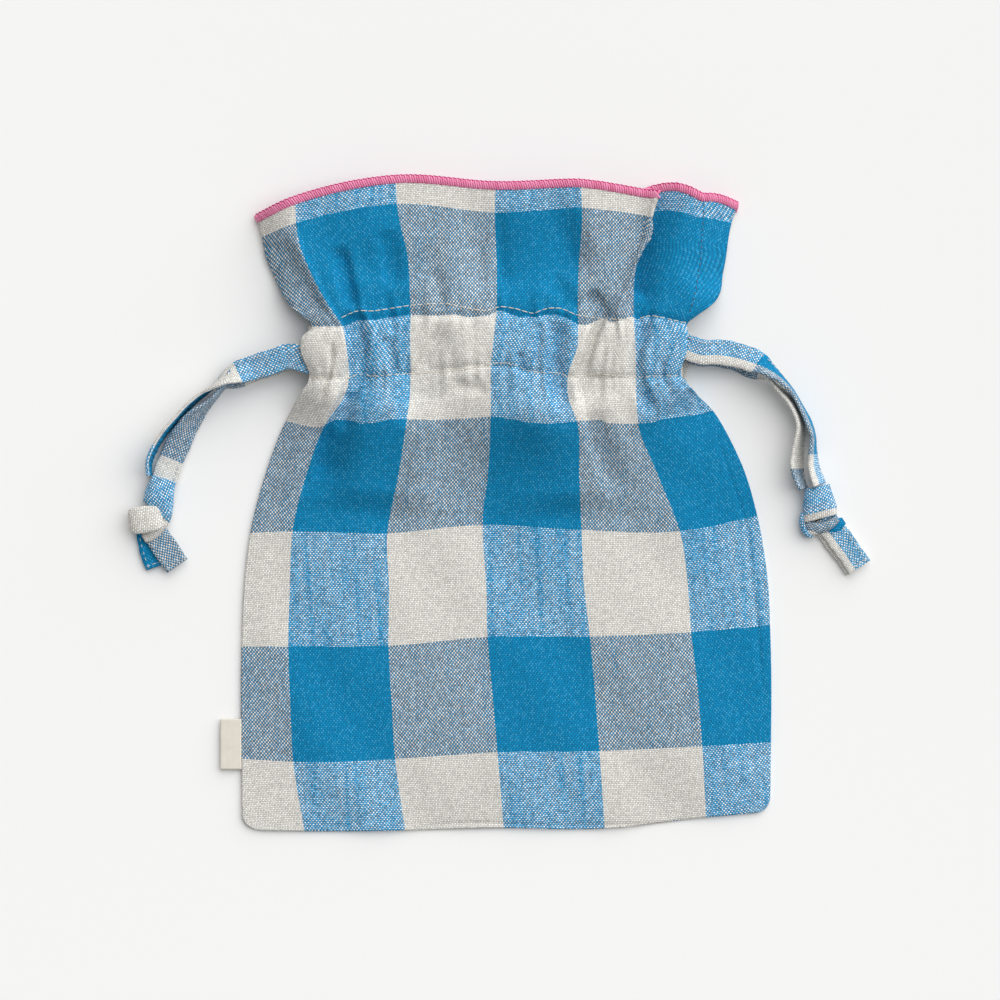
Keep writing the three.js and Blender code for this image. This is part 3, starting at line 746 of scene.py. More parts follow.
def turn_band(centre, heading, reach, drop, height, widths, paint):
    """A closed band of tape round the knot: widths are its width on the near, top, far and under sides."""
    angles = np.linspace(0.0, 2 * math.pi, TURN_STEPS, endpoint=False)
    way = np.array([math.cos(math.radians(heading)), math.sin(math.radians(heading)), 0.0])
    beside = np.cross(UP, way)
    middle_point = np.array([*spots(centre), height * MM])
    line = (middle_point + way * squared(np.cos(angles), 0.8)[:, None] * reach * MM
            + UP * squared(np.sin(angles), 0.75)[:, None] * drop * MM)
    outward = unit(np.cos(angles)[:, None] * way / reach + np.sin(angles)[:, None] * UP / drop)
    quarters = np.linspace(0.0, 2 * math.pi, len(widths) + 1)
    half = through(quarters, [*widths, widths[0]], angles) / 2
    marks = TAPE_MARKS
    bow = (1 - marks[:, 0] ** 2) * TURN_BOW
    points = (line[:, None] + beside * marks[None, :, :1] * (half * MM)[:, None, None]
              + outward[:, None] * ((marks[:, 1] * TURN_THICKNESS + bow) * MM)[None, :, None])
    around = lengths_along(closed(marks) * (max(widths) / 2, TURN_THICKNESS))
    cloth = painted(paint, lengths_along(closed(line)) / MM, around)
    return loft(closed(points), cloth, rolled=True)


print("points round a sleeve:", RING_POINTS, "steps of a turn:", TURN_STEPS)

# %% Left knot
def pale_blue(along, around):
    """Blue warp over natural weft, turned on the bias as a tape is in a knot."""
    return 5.0 + 0.8 * along + 0.5 * around, 134.0 + 0.8 * around - 0.5 * along


def natural(along, around):
    return 44.0 + 0.9 * around + 0.2 * along, 133.0 + 0.9 * along - 0.2 * around


def grey_blue(along, around):
    return 44.0 + around, 90.0 + along


def deep_blue(along, around):
    return 6.0 + around, 92.0 + along


left_collar = sleeve([
    (163.5, 478.5, 4.7, 2.1, 3.3, -4), (161.5, 487.0, 5.1, 2.6, 3.7, -8), (159.5, 496.0, 5.8, 2.8, 3.9, -14),
    (157.5, 504.5, 6.4, 2.8, 3.8, -22), (156.0, 512.0, 6.4, 2.3, 3.3, -28)], pale_blue, 0.05)
left_turn = turn_band((145.5, 519.5), 8, 5.5, 2.5, 4.2, (7.4, 10.2, 8.8, 8.0), natural)
left_strip = sleeve([
    (166.0, 508.0, 1.5, 1.5, 3.0, 0), (165.0, 518.0, 2.0, 1.8, 2.9, 0), (158.0, 528.0, 2.3, 1.9, 2.8, 0),
    (149.0, 535.5, 2.2, 1.7, 2.7, 0), (143.0, 539.0, 1.6, 1.2, 2.6, 0)], natural, 0.05)
left_knot = piece("left_knot_tape", [left_collar, left_turn, left_strip], [tape_finish])
print("left knot faces:", len(left_knot.data.polygons))

# %% Right knot
def banded(along, around):
    """Pale blue, then a natural band, then grey blue, along a sleeve."""
    return WARP_BAND + along - 9.6, 131.0 + 0.9 * around


right_collar = sleeve([
    (817.5, 486.5, 4.8, 2.3, 3.5, 6), (818.5, 495.0, 5.5, 2.8, 3.9, 8), (819.5, 504.0, 6.2, 3.1, 4.1, 9),
    (820.0, 512.0, 6.6, 3.2, 4.1, 10), (820.5, 518.5, 6.5, 2.7, 4.0, 10)], banded, 0.04)
right_turn = sleeve([
    (806.0, 523.5, 1.5, 1.7, 3.2, 0), (814.0, 527.0, 2.0, 2.2, 3.3, 0), (823.0, 527.0, 2.2, 2.3, 3.3, 0),
    (832.0, 523.0, 1.9, 2.1, 3.3, 0), (838.0, 518.5, 1.3, 1.5, 3.3, 0)], grey_blue, 0.08)
right_curl = sleeve([
    (803.0, 513.0, 0.9, 1.9, 3.2, 0), (802.5, 522.0, 1.1, 2.2, 3.0, 0), (805.0, 530.5, 1.2, 2.1, 2.8, 0),
    (810.0, 535.0, 1.1, 1.8, 2.5, 0), (813.5, 535.5, 0.8, 1.3, 2.4, 0)], pale_blue, 0.06)
right_inner = sleeve([
    (808.0, 530.0, 1.0, 1.4, 2.8, 0), (812.5, 531.8, 1.5, 1.8, 2.8, 0), (818.0, 531.0, 1.2, 1.5, 2.7, 0)],
    natural, 0.05)
right_hole = sleeve([
    (828.0, 530.5, 1.0, 0.7, 2.6, 0), (834.5, 527.0, 2.1, 0.8, 2.8, 0), (840.0, 523.5, 2.2, 0.8, 2.8, 0),
    (844.5, 520.5, 1.4, 0.6, 2.7, 0)], deep_blue, 0.05)
right_knot = piece("right_knot_tape", [right_collar, right_turn, right_curl, right_inner, right_hole],
                   [tape_finish])
print("right knot faces:", len(right_knot.data.polygons))

# %% [markdown]
# ## The tails
# Past the knot the two ends of the tape lie as short tails, one over the other, with their cut ends turned in
# and stitched. They are the same tape, so the same maker draws them.

# %% Tails
TAIL_PAINT = {
    ("left", "upper"): lambda along, around: (46.0 + around, 172.0 + along - 4.6),
    ("left", "lower"): lambda along, around: (4.0 + around, 90.0 + along),
    ("right", "upper"): lambda along, around: (WARP_BAND + around - 7.2, 131.0 + along),
    ("right", "lower"): lambda along, around: (44.0 + around, 131.0 + along),
}
TAIL_OPEN_EDGE = {("left", "upper"): 1, ("left", "lower"): 1, ("right", "upper"): -1, ("right", "lower"): 1}
UPPER_TAIL = TABLE_GAP + CAD_TAPE_THICKNESS + 0.3
TAIL_START = {"left": [(-57.6, -63.0, 1.3, 0)], "right": [(50.8, -61.0, 1.3, 0)]}


def dress(made, body, node):
    """Says which body a piece rides on, and which solid it stands for."""
    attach(made, body)
    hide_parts(node)


for (hand, layer), marks in TAIL_ROUTES.items():
    line, roll = laid_route(TAIL_START[hand] + marks, hand, UPPER_TAIL)
    parts = tape_parts(line, roll, TAIL_PAINT[hand, layer], TAIL_OPEN_EDGE[hand, layer], stitch_ends=True)
    tail = piece(f"{hand}_{layer}_tail_tape", parts, [tape_finish, EDGE_THREAD[hand]])
    dress(tail, f"{hand}_drawstring_end", f"{hand}_drawstring_{layer}_tail")
    print(tail.name, f"{lengths_along(line)[-1] / MM:.1f} mm")

# %% [markdown]
# ## The knots
# Each knot rides on the body of its drawstring's end, in place of its CAD solid.

for hand, knot in (("left", left_knot), ("right", right_knot)):
    dress(knot, f"{hand}_drawstring_end", f"{hand}_drawstring_knot")
    for layer in ("front", "back"):
        line = strand_lines[hand, layer]

# %% [markdown]
# ## The runs inside the casing
# Inside the casing each drawstring runs along the front, bends round at the far side and comes back along the
# back. The runs hardly show at rest, but a hand that pulls a strand brings them out, so they are tape too.

# %% Runs and far bends
def run_paint(along, around):
    return 46.0 + around, 129.0 + along


RUN_JOIN = 8.0
RUN_STEP = 1.2
BEND_STEPS = 30
ALONG = np.array([0.0, 1.0, 0.0])
for hand, side in SIDE.items():
    for layer, low in TOPS.items():
        run_low, run_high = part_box(f"{hand}_drawstring_{layer}_run")
        far = run_low.x if side > 0 else run_high.x
        near = side * (NECK_HALF - RUN_JOIN) * MM
        height = (low + CAD_TAPE_THICKNESS / 2) * MM
        ends = np.array([[far, RUN_ALONG[hand] * MM, height], [near, RUN_ALONG[hand] * MM, height]])
        line = even_line(ends, RUN_STEP * MM)
        parts = tape_parts(line, np.zeros(len(line)), run_paint)
        run = piece(f"{hand}_{layer}_run_tape", parts, [tape_finish, edge_finish])
        dress(run, f"{hand}_drawstring", f"{hand}_drawstring_{layer}_run")
    bend_low, bend_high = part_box(f"{hand}_drawstring_far_bend")
    bend_middle = (bend_low + bend_high) / 2
    reach = bend_high.x - bend_low.x - CAD_TAPE_THICKNESS / 2 * MM
    drop = (bend_high.z - bend_low.z - CAD_TAPE_THICKNESS * MM) / 2
    start = bend_high.x if side > 0 else bend_low.x
    angles = np.linspace(math.pi / 2, -math.pi / 2, BEND_STEPS)
    line = np.stack([start - side * reach * np.cos(angles), np.full(BEND_STEPS, bend_middle.y),
                     bend_middle.z + drop * np.sin(angles)], axis=1)
    outs = np.cross(unit(np.gradient(line, axis=0)), ALONG)
    points = (line[:, None] + ALONG * TAPE_MARKS[None, :, :1] * (TAPE_WIDTH / 2 * MM)
              + outs[:, None] * TAPE_MARKS[None, :, 1:] * (CAD_TAPE_THICKNESS / 2 * MM))
    around = lengths_along(closed(TAPE_MARKS) * (TAPE_WIDTH / 2, CAD_TAPE_THICKNESS / 2))
    cloth = painted(run_paint, lengths_along(line) / MM, around)
    bend = piece(f"{hand}_far_bend_tape", [loft(points, cloth, rolled=True, capped=True)], [tape_finish])
    dress(bend, "pouch", f"{hand}_drawstring_far_bend")
print("runs and far bends made")

# %% [markdown]
# ## The front panel's net
# One piece of cloth makes the body, the casing and the ruffle. Gathered cloth could be simulated, but the
# photograph shows exactly where each line between two checks went, and a simulation would lay them elsewhere.
# So the lines are read off as a net: seven warp lines, each followed along seventeen rows. Between
# them the cloth is smooth.

# %% Check net
LEFT_EDGE = -18.0
RIGHT_EDGE = 182.0
BOTTOM_EDGE = -27.0
RIM_EDGE = 222.0
WARP_LINES = (LEFT_EDGE, 0.0, WARP_BAND, 2 * WARP_BAND, 3 * WARP_BAND, 4 * WARP_BAND, RIGHT_EDGE)
FIRST_ROW = 5 * WEFT_BAND
SECOND_ROW = 4 * WEFT_BAND
THIRD_ROW = 3 * WEFT_BAND

# Each row: its name, its place along the cloth, and the pixels where the seven warp lines cross it.
CHECK_NET = [
    ("bottom", -27.0, [
        (241.5, 831), (304, 831.7), (404.7, 831), (503.8, 828.5),
        (604.8, 829), (706.6, 818), (770.5, 812)]),
    ("sixth weft", 0.0, [
        (241, 759.5), (293, 762), (395, 759.2), (497.5, 752.5),
        (599.5, 751.4), (702.4, 746.5), (771.3, 742.7)]),
    ("low middle", 21.5, [
        (240.6, 700), (290, 703), (391.3, 701), (492.7, 697),
        (595, 692), (698, 690), (771.7, 684)]),
    ("fifth weft", 43.0, [
        (241.2, 647), (288, 646.7), (388.4, 646), (487.5, 637.2),
        (590, 636.6), (691.5, 632.3), (770.4, 625.6)]),
    ("middle", 64.5, [
        (243.3, 590), (289.4, 590), (388.9, 590), (486.2, 585),
        (584, 585), (688, 584), (767.5, 575)]),
    ("fourth weft", 86.0, [
        (250, 532.8), (292.3, 531.5), (387.2, 533.2), (482.5, 525),
        (581.6, 530), (680, 531.2), (757.6, 516.1)]),
    ("shoulder", 107.5, [
        (265, 475), (305.5, 477), (398.5, 475), (488.3, 470),
        (579, 475), (658, 475), (741, 462)]),
    ("third weft", 129.0, [
        (285.7, 421), (326, 426), (407.2, 419.6), (490.7, 416.3),
        (576.4, 421.8), (638, 423.2), (713, 413.5)]),
    ("under casing", 138.0, [
        (297, 400), (343, 400), (409.8, 400), (490.8, 394),
        (568.5, 400), (636, 400), (697, 396)]),
    ("lower stitches", 148.0, [
        (309.5, 378), (349.3, 379), (410.8, 373.9), (490.8, 366),
        (567.5, 376.5), (635.8, 377.5), (681, 376)]),
    ("casing", 160.0, [
        (301, 351), (347, 347.5), (410.5, 345), (493.7, 340),
        (577.5, 346), (635, 345), (686, 352)]),
    ("puff", 167.0, [
        (302.5, 337), (345, 334.5), (410.6, 327), (495.4, 324),
        (577.9, 333), (634, 329), (687.5, 334)]),
    ("second weft", 172.0, [
        (312, 327), (343, 327.2), (410.8, 315.4), (496.7, 312.6),
        (577.9, 325), (633.5, 319), (687, 324.5)]),
    ("ruffle foot", 181.0, [
        (289, 304), (326, 301), (410, 293), (496.8, 290),
        (577.5, 299), (633.5, 294), (715, 301)]),
    ("ruffle", 193.5, [
        (270.5, 268), (309, 268), (408.5, 262), (496.8, 263),
        (578.5, 268), (636, 267), (723.5, 270)]),
    ("first weft", 215.0, [
        (261.6, 237), (296.7, 223.5), (397.2, 204.8), (495, 213),
        (581.7, 208.3), (648, 212), (731.5, 222.3)]),
    ("rim", 222.0, [
        (258, 220.5), (295.6, 204), (396.2, 183), (495.4, 189.4),
        (580.4, 187), (653, 194), (736, 207.5)]),
]

# Two of these weft lines ripple between the warp lines, where the gathers take the cloth up and down.
SECOND_WEFT = [
    (312, 327), (343.5, 327), (352, 323.5), (357, 321), (375, 320.5), (390, 318), (410.5, 315.5),
    (440, 316.5), (455, 315), (468.6, 318), (480, 316.8), (490, 316), (497, 311.5), (503, 311.5),
    (509, 314), (520, 318), (527, 316.4), (535, 318), (545, 315.5), (555, 315.3), (566, 318.6),
    (574, 323), (577.5, 325), (587, 325.5), (596, 321.5), (604, 318.5), (611, 322.5), (620, 321.5),
    (631, 317), (635, 320), (641, 319.6), (648, 316), (659, 318), (672, 321), (687, 324.3)]
THIRD_WEFT = [
    (286, 420.5), (300, 424), (312, 426.5), (320, 427), (326, 424), (336.5, 419), (352.7, 420.5),
    (361.5, 423.5), (374.7, 422.7), (389, 419.8), (407.7, 419), (433, 419.8), (456, 419), (480, 417.5),
    (491, 416), (505, 418), (520, 421), (538.7, 423.8), (562, 423), (576.5, 421), (590, 420),
    (602, 419.8), (606, 423), (620, 423.5), (639, 423.6), (648, 423), (663, 419), (680, 416),
    (697, 414.4), (713, 410)]
net_rows = np.array([row[1] for row in CHECK_NET])
net_places = np.array([spots(row[2]) for row in CHECK_NET])
print("net:", net_places.shape[0], "rows of", net_places.shape[1])

# %% Cloth grid
CORNER_RADIUS = 6.0
CORNER_FADE = 14.0
FINE_STEP = 0.5
STEP_ACROSS = 0.9
STEP_ALONG = 0.95
FINE_ACROSS = [(-18, -10), (138, 158), (174, 182)]
FINE_ALONG = [(-27, -19), (142, 178)]


def graded(low, high, fine_zones, coarse):
    """Steps from low to high: fine in the given zones and coarse elsewhere."""
    at = [low]
    while at[-1] < high - 1e-6:
        inside = any(start <= at[-1] < end for start, end in fine_zones)
        at.append(min(high, at[-1] + (FINE_STEP if inside else coarse)))
    return np.array(at)


grid_across = graded(LEFT_EDGE, RIGHT_EDGE, FINE_ACROSS, STEP_ACROSS)
grid_along = graded(BOTTOM_EDGE, RIM_EDGE, FINE_ALONG, STEP_ALONG)
above_bottom = grid_along - BOTTOM_EDGE
short = np.clip(CORNER_RADIUS - above_bottom, 0.0, CORNER_RADIUS)
inset = CORNER_RADIUS - np.sqrt(CORNER_RADIUS ** 2 - short ** 2)
left_pull = np.clip(1 - (grid_across - LEFT_EDGE) / CORNER_FADE, 0, 1)
right_pull = np.clip(1 - (RIGHT_EDGE - grid_across) / CORNER_FADE, 0, 1)
cloth_across = grid_across[None, :] + inset[:, None] * (left_pull - right_pull)[None, :]
cloth_along = np.repeat(grid_along[:, None], len(grid_across), axis=1)
print("cloth grid:", cloth_across.shape)

# %% Lay the net
def hump(value, middle, reach):
    """A soft bump, one high, round a middle."""
    return np.exp(-((value - middle) / reach) ** 2)


def row_at(along):
    """The number of the grid's row that is nearest to a place along the cloth."""
    return int(np.argmin(np.abs(grid_along - along)))


plan = np.zeros((*cloth_across.shape, 2))
for index, along in enumerate(grid_along):
    crossings = np.stack([through(WARP_LINES, row, cloth_across[index]) for row in net_places])
    plan[index] = through(net_rows, crossings, np.array([along]))[0]
for along, reach, line in ((SECOND_ROW, 6.5, SECOND_WEFT), (THIRD_ROW, 9.0, THIRD_WEFT)):
    marks = spots(line)
    level = plan[row_at(along)]
    wanted = np.interp(level[:, 0], marks[:, 0], marks[:, 1])
    plan[..., 1] += hump(grid_along, along, reach)[:, None] * (wanted - level[:, 1])[None, :]
print("ruffle width:", f"{(plan[-1, -1, 0] - plan[-1, 0, 0]) / MM:.1f} mm")

# %% [markdown]
# ## The shape of the panel
# The body swells softly from its seams, climbs to the casing, where the tape lies inside, and drops to the
# rim of the ruffle. One pleat of the ruffle folds over itself on the right. These are broad forms, so plain
# formulas of the place in the cloth are enough.

# %% Broad forms
EDGE_HEIGHT = 1.25
BODY_CROWN = 3.7
CASING_HEIGHT = 13.9
CASING_EDGE = 11.3
RIM_CROWN = 11.2
RIM_EDGE_HEIGHT = 2.6
BODY_RISE = 42.0
BOTTOM_RISE = 34.0
CASING_RISE = 7.0
RUFFLE_RISE = 18.0
CASING_LOW = 148.0
CASING_HIGH = 172.0
SHOULDER = 52.0
NECK_RAMP = 18.0
CASING_SWELL = 1.4
BULGES = ((20.0, 17.0, 1.6), (97.0, 17.0, 3.2))
BULGE_ALONG = 130.0
BULGE_REACH = 15.0
STITCH_PULL = 0.8
STITCH_PULL_REACH = 1.7
EDGE_LAG = 2.0

from_side = np.minimum(cloth_across - LEFT_EDGE, RIGHT_EDGE - cloth_across)
from_bottom = cloth_along - BOTTOM_EDGE
to_neck = smooth_step((cloth_along - CASING_LOW + SHOULDER) / SHOULDER)
near_neck = smooth_step((cloth_along - CASING_LOW + NECK_RAMP + EDGE_LAG) / NECK_RAMP)
crown = BODY_CROWN + (CASING_HEIGHT - BODY_CROWN) * to_neck
edge = EDGE_HEIGHT + (CASING_EDGE - EDGE_HEIGHT) * near_neck
over_casing = np.clip((cloth_along - CASING_HIGH) / (RIM_EDGE - CASING_HIGH), 0, 1)
crown += (RIM_CROWN - CASING_HEIGHT) * smooth_step(over_casing)
edge += (RIM_EDGE_HEIGHT - CASING_EDGE) * smooth_step((cloth_along - CASING_HIGH - EDGE_LAG) / NECK_RAMP)
up_shoulder = smooth_step((cloth_along - CASING_LOW + SHOULDER / 2) / (SHOULDER / 2))
side_rise = BODY_RISE + (CASING_RISE - BODY_RISE) * up_shoulder
side_rise += (RUFFLE_RISE - CASING_RISE) * smooth_step(over_casing * 2)
rise = quarter_wave(from_side / side_rise) * quarter_wave(from_bottom / BOTTOM_RISE)
height = edge + (crown - edge) * rise
casing_share = np.clip((cloth_along - CASING_LOW) / (CASING_HIGH - CASING_LOW), 0, 1)
height += CASING_SWELL * np.sin(math.pi * casing_share) ** 0.7
for row in (CASING_LOW, CASING_HIGH):
    height -= STITCH_PULL * hump(cloth_along, row, STITCH_PULL_REACH)
for across, reach, rise_here in BULGES:
    height += rise_here * hump(cloth_across, across, reach) * hump(cloth_along, BULGE_ALONG, BULGE_REACH)
print(f"highest {height.max():.1f} mm, casing edge {CASING_EDGE:.1f} mm")

# %% Pleat of the ruffle
PLEAT_TIP = 144.0
PLEAT_UNDER = 149.0
PLEAT_BACK = 152.0
PLEAT_FOOT = 169.0
PLEAT_RAMP = 12.0
PLEAT_ROOT = WARP_LINES[4]
TURN_UNDER = 2.0
FLAP_LIFT = 2.2
FLAP_REACH = 3.6
UNDER_DROP = 7.2
UNDER_REACH = 3.0
RIGHT_REACH = 6.0
RIGHT_REACH_AT_RIM = 11.0

# The edge of the flap from the rim down, and the rows of the rim and of the first weft line by the pleat.
FLAP_EDGE = [
    (659, 197), (654.5, 210), (652, 219), (653, 229), (650.5, 240), (643, 251), (637, 264), (632, 277),
    (629, 291), (624, 304), (619, 315), (614.5, 323)]
RIM_ROWS = [
    (114, 187), (122, 189.5), (130, 193), (138, 197), (143, 198.6), (147, 197.5), (150, 194.5),
    (153, 192), (157, 190), (161, 190), (165, 193.5), (168.5, 199), (170, 201), (172, 200.6),
    (175, 201), (178, 203.5), (182, 208)]
FIRST_WEFT_ROWS = [
    (114, 208.3), (130, 211.5), (140, 215.5), (146, 217.5), (150, 214), (153, 211.3), (160, 211),
    (165, 213.5), (170, 217.5), (176, 219.5), (182, 222.3)]

for marks, along, above, below in ((FIRST_WEFT_ROWS, FIRST_ROW, 7.0, 9.0), (RIM_ROWS, RIM_EDGE, 5.0, 5.0)):
    across, rows = np.array(marks).T
    index = row_at(along)
    wanted = (ORIGIN_PIXEL[1] - np.interp(cloth_across[index], across, rows)) * PIXEL
    gap = np.where(cloth_across[index] >= PLEAT_ROOT, wanted - plan[index, :, 1], 0.0)
    reach = np.where(grid_along > along, above, below)
    plan[..., 1] += hump(grid_along, along, reach)[:, None] * gap[None, :]

open_plan = plan.copy()
pleat = smooth_step((cloth_along - PLEAT_FOOT) / PLEAT_RAMP)
edge_marks = spots(FLAP_EDGE)[::-1]
for index in np.flatnonzero(grid_along > PLEAT_FOOT):
    across = cloth_across[index]
    level = plan[index]
    start, tip, back = (np.array([np.interp(place, across, level[:, k]) for k in (0, 1)])
                        for place in (PLEAT_ROOT, PLEAT_TIP, PLEAT_BACK))
    flap = np.interp(tip[1], edge_marks[:, 1], edge_marks[:, 0])
    laid = np.interp(across, (PLEAT_ROOT, PLEAT_TIP, PLEAT_UNDER, PLEAT_BACK),
                     (start[0], flap, back[0] - TURN_UNDER * MM, back[0]))
    inside = (across > PLEAT_ROOT) & (across < PLEAT_BACK)
    level[inside, 0] += pleat[index, inside] * (laid - level[:, 0])[inside]
on_flap = hump(cloth_across, PLEAT_TIP, FLAP_REACH)
right_reach = RIGHT_REACH + (RIGHT_REACH_AT_RIM - RIGHT_REACH) * over_casing
under_reach = np.where(cloth_across > PLEAT_BACK, right_reach, UNDER_REACH)
under_flap = hump(cloth_across, PLEAT_BACK, under_reach)
height += pleat * (FLAP_LIFT * on_flap - UNDER_DROP * under_flap)
rim = plan[-1, :, 0]
overlap = rim[cloth_across[-1] < PLEAT_UNDER].max() - np.interp(PLEAT_UNDER, cloth_across[-1], rim)
print(f"pleat overlap at the rim: {overlap / MM:.1f} mm")

# %% [markdown]
# ## Folds of the gathers
# Gathered cloth goes into sharp valleys at the casing that fade into the body and the ruffle. Each valley is
# a line of a few points read from the photograph, with a depth in millimetres and a width to either side in
# pixels. A sculpting brush does the same by hand; here the stroke is a formula, so it repeats.

# %% Press the folds
# Each fold: depth in millimetres (a ridge is negative), width left and right in pixels, and its points.
FOLDS = [
    (2.6, 1.8, 2.2, [(332.5, 340), (333, 356), (330.5, 372), (326, 388), (318, 404)]),
    (4.0, 11, 7, [(350, 306), (355, 318), (358.5, 331), (360.5, 346), (359.5, 360), (355, 374), (349, 388)]),
    (3.0, 8, 7, [(362, 340), (361, 356), (357.5, 372), (353, 388), (349, 404), (346, 422), (343, 440)]),
    (4.2, 5, 24, [
        (357, 362), (352, 380), (346, 395), (340, 406), (334, 418), (328, 434), (322, 456), (318, 490)]),
    (2.0, 8, 34, [(326, 420), (318, 442), (312, 466), (306, 500)]),
    (-4.4, 78, 45, [(402, 384), (399, 410), (395, 445), (391, 480), (388, 518)]),
    (-4.8, 74, 36, [(582, 384), (584, 410), (586, 445), (588, 480), (590, 518)]),
    (3.1, 7, 20, [(442, 318), (434, 342), (422, 368), (409, 402), (400, 430)]),
    (1.5, 6, 6, [(453, 384), (466, 388), (488, 389)]),
    (1.6, 3, 5, [(536, 318), (538, 340), (537, 356), (534, 372)]),
    (3.4, 5, 12, [(552, 312), (553, 340), (551, 358), (552, 376), (556, 392), (564, 420)]),
    (4.4, 5, 4.6, [(606, 306), (598, 324), (592, 340), (588, 354), (584, 368), (580, 380)]),
    (3.2, 6, 18, [(581, 352), (580, 372), (584, 396), (590, 424), (602, 462), (616, 505)]),
    (3.6, 8, 5, [(647, 310), (644, 331), (638, 352), (636.5, 368), (639, 382), (646, 397), (657, 418)]),
    (1.5, 4, 5, [(518, 352), (520, 364), (523, 376)]),
    (2.0, 6, 6, [(386, 334), (390, 350), (393, 364), (397, 380)]),
    (2.6, 13, 8, [(276, 232), (284, 250), (294, 268), (304, 287), (315, 306), (327, 322)]),
    (-1.3, 5, 3, [(294, 226), (300, 248), (308, 266), (318, 286), (329, 306), (340, 322)]),
    (1.4, 16, 22, [(345, 262), (372, 266), (410, 268), (450, 270)]),
    (4.6, 18, 50, [(455, 276), (484, 274), (511, 272), (548, 266), (578, 256), (600, 248)]),
    (3.2, 9, 7, [(338, 244), (345, 272), (350, 294), (355, 314)]),
    (1.6, 8, 12, [(384, 228), (388, 256), (394, 292)]),
    (1.4, 5, 7, [(434, 268), (439, 292), (440, 314)]),
    (1.2, 8, 8, [(472, 236), (480, 286), (486, 312)]),
    (1.5, 12, 9, [(548, 274), (562, 292), (573, 314)]),
    (3.4, 10, 6, [(590, 290), (597, 302), (603, 312), (604, 322)]),
    (-1.6, 5, 4, [(622, 290), (616, 308), (611, 320), (610, 327)]),
    (1.0, 5, 8, [(498, 206), (499, 250), (505, 292)]),
    (-1.1, 7, 9, [(440, 412), (421, 450), (409, 484)]),
    (-0.8, 6, 6, [(474, 378), (482, 370), (492, 362)]),
]
SEAM_RIDGES = [
    (0.45, 2.2, 2.2, [
        (709.5, 416), (724, 457), (733.6, 485), (751, 546),
        (752, 573), (758.5, 629), (762, 675), (767, 713)]),
    (0.4, 2.0, 2.0, [
        (405, 828), (458, 824), (506, 824.4), (548, 826.3), (605, 825.5), (672, 823), (703, 819)]),
]
FOLD_FADE = 0.22
FOLD_POWER = 2.6
FOLD_STEP = 0.4
FOLD_MARGIN = 3.0


def press(fold, plan, height):
    """Pushes the cloth down along one line, steeper on one side where the fold leans."""
    depth, left, right, pixels = fold
    marks = spots(pixels)
    place = lengths_along(marks)
    line = through(place, marks, np.linspace(0.0, place[-1], int(place[-1] / (FOLD_STEP * MM)) + 2))
    heads = unit(np.gradient(line, axis=0))
    margin = FOLD_MARGIN * max(left, right) * PIXEL
    near = np.all((plan > line.min(0) - margin) & (plan < line.max(0) + margin), axis=-1)
    away = plan[near][:, None] - line[None]
    nearest = (away ** 2).sum(-1).argmin(1)
    offset = away[np.arange(len(nearest)), nearest]
    head = heads[nearest]
    on_right = head[:, 0] * offset[:, 1] - head[:, 1] * offset[:, 0] > 0
    width = np.where(on_right, right, left) * PIXEL
    share = nearest / (len(line) - 1)
    fade = smooth_step(share / FOLD_FADE) * smooth_step((1 - share) / FOLD_FADE)
    height[near] -= depth * fade * np.exp(-(np.linalg.norm(offset, axis=-1) / width) ** FOLD_POWER)


for fold in FOLDS + SEAM_RIDGES:
    press(fold, plan, height)
print("folds pressed:", len(FOLDS), "seam ridges:", len(SEAM_RIDGES))

# %% [markdown]
# ## Puckers
# A row of stitches draws the cloth together, so small waves stand along it, and the slack body has a few long
# ones. A noise would do for both, but cloth puckers at certain lengths, so a few sine waves with seeded
# phases are added up. Then the panel is kept above the facing that lies inside, and gets the thickness of
# cloth.

# %% Puckers along the stitches
PUCKER_WAVES = ((5.3, 0.20), (7.9, 0.26), (12.1, 0.24), (19.0, 0.22))
PUCKER_REACH = 8.0
PUCKER_TURN = 0.05
SLACK_WAVES = ((31.0, 0.22), (47.0, 0.28), (74.0, 0.3))
SLACK_TURN = 0.02
SLACK_SLANT = 0.4
SLACK_FADE = 25.0
LOWEST_CASING = 11.15
FACING_HALF = 18.5
FACING_SLOPE = 1.1
FULL_TURN = 6.28
chance = np.random.default_rng(7)


def ripple(waves, place, turn):
    """Several sine waves with seeded phases, added up."""
    total = np.zeros_like(place)
    for length, size in waves:
        lean, phase = chance.uniform(0.6, 1.4), chance.uniform(0, FULL_TURN)
        total += size * np.sin(2 * math.pi * place / length + turn * lean + phase)
    return total


def puckers():
    """Waves along both rows of stitches, which fade out to either side."""
    return sum(hump(cloth_along, row, PUCKER_REACH)
               * ripple(PUCKER_WAVES, cloth_across, PUCKER_TURN * (cloth_along - row))
               for row in (CASING_LOW, CASING_HIGH))


height += puckers()
inland = smooth_step(from_side / SLACK_FADE)
height += inland * ripple(SLACK_WAVES, cloth_across + SLACK_SLANT * cloth_along, SLACK_TURN * cloth_along)
beyond_facing = np.maximum(0, np.abs(cloth_along - (CASING_LOW + CASING_HIGH) / 2) - FACING_HALF)
height = np.maximum(height, LOWEST_CASING - FACING_SLOPE * beyond_facing)
front_points = np.dstack([plan, height * MM])
print(f"front panel from {height.min():.1f} to {height.max():.1f} mm high")

# %% Front panel
CLOTH_THICKNESS = 0.5


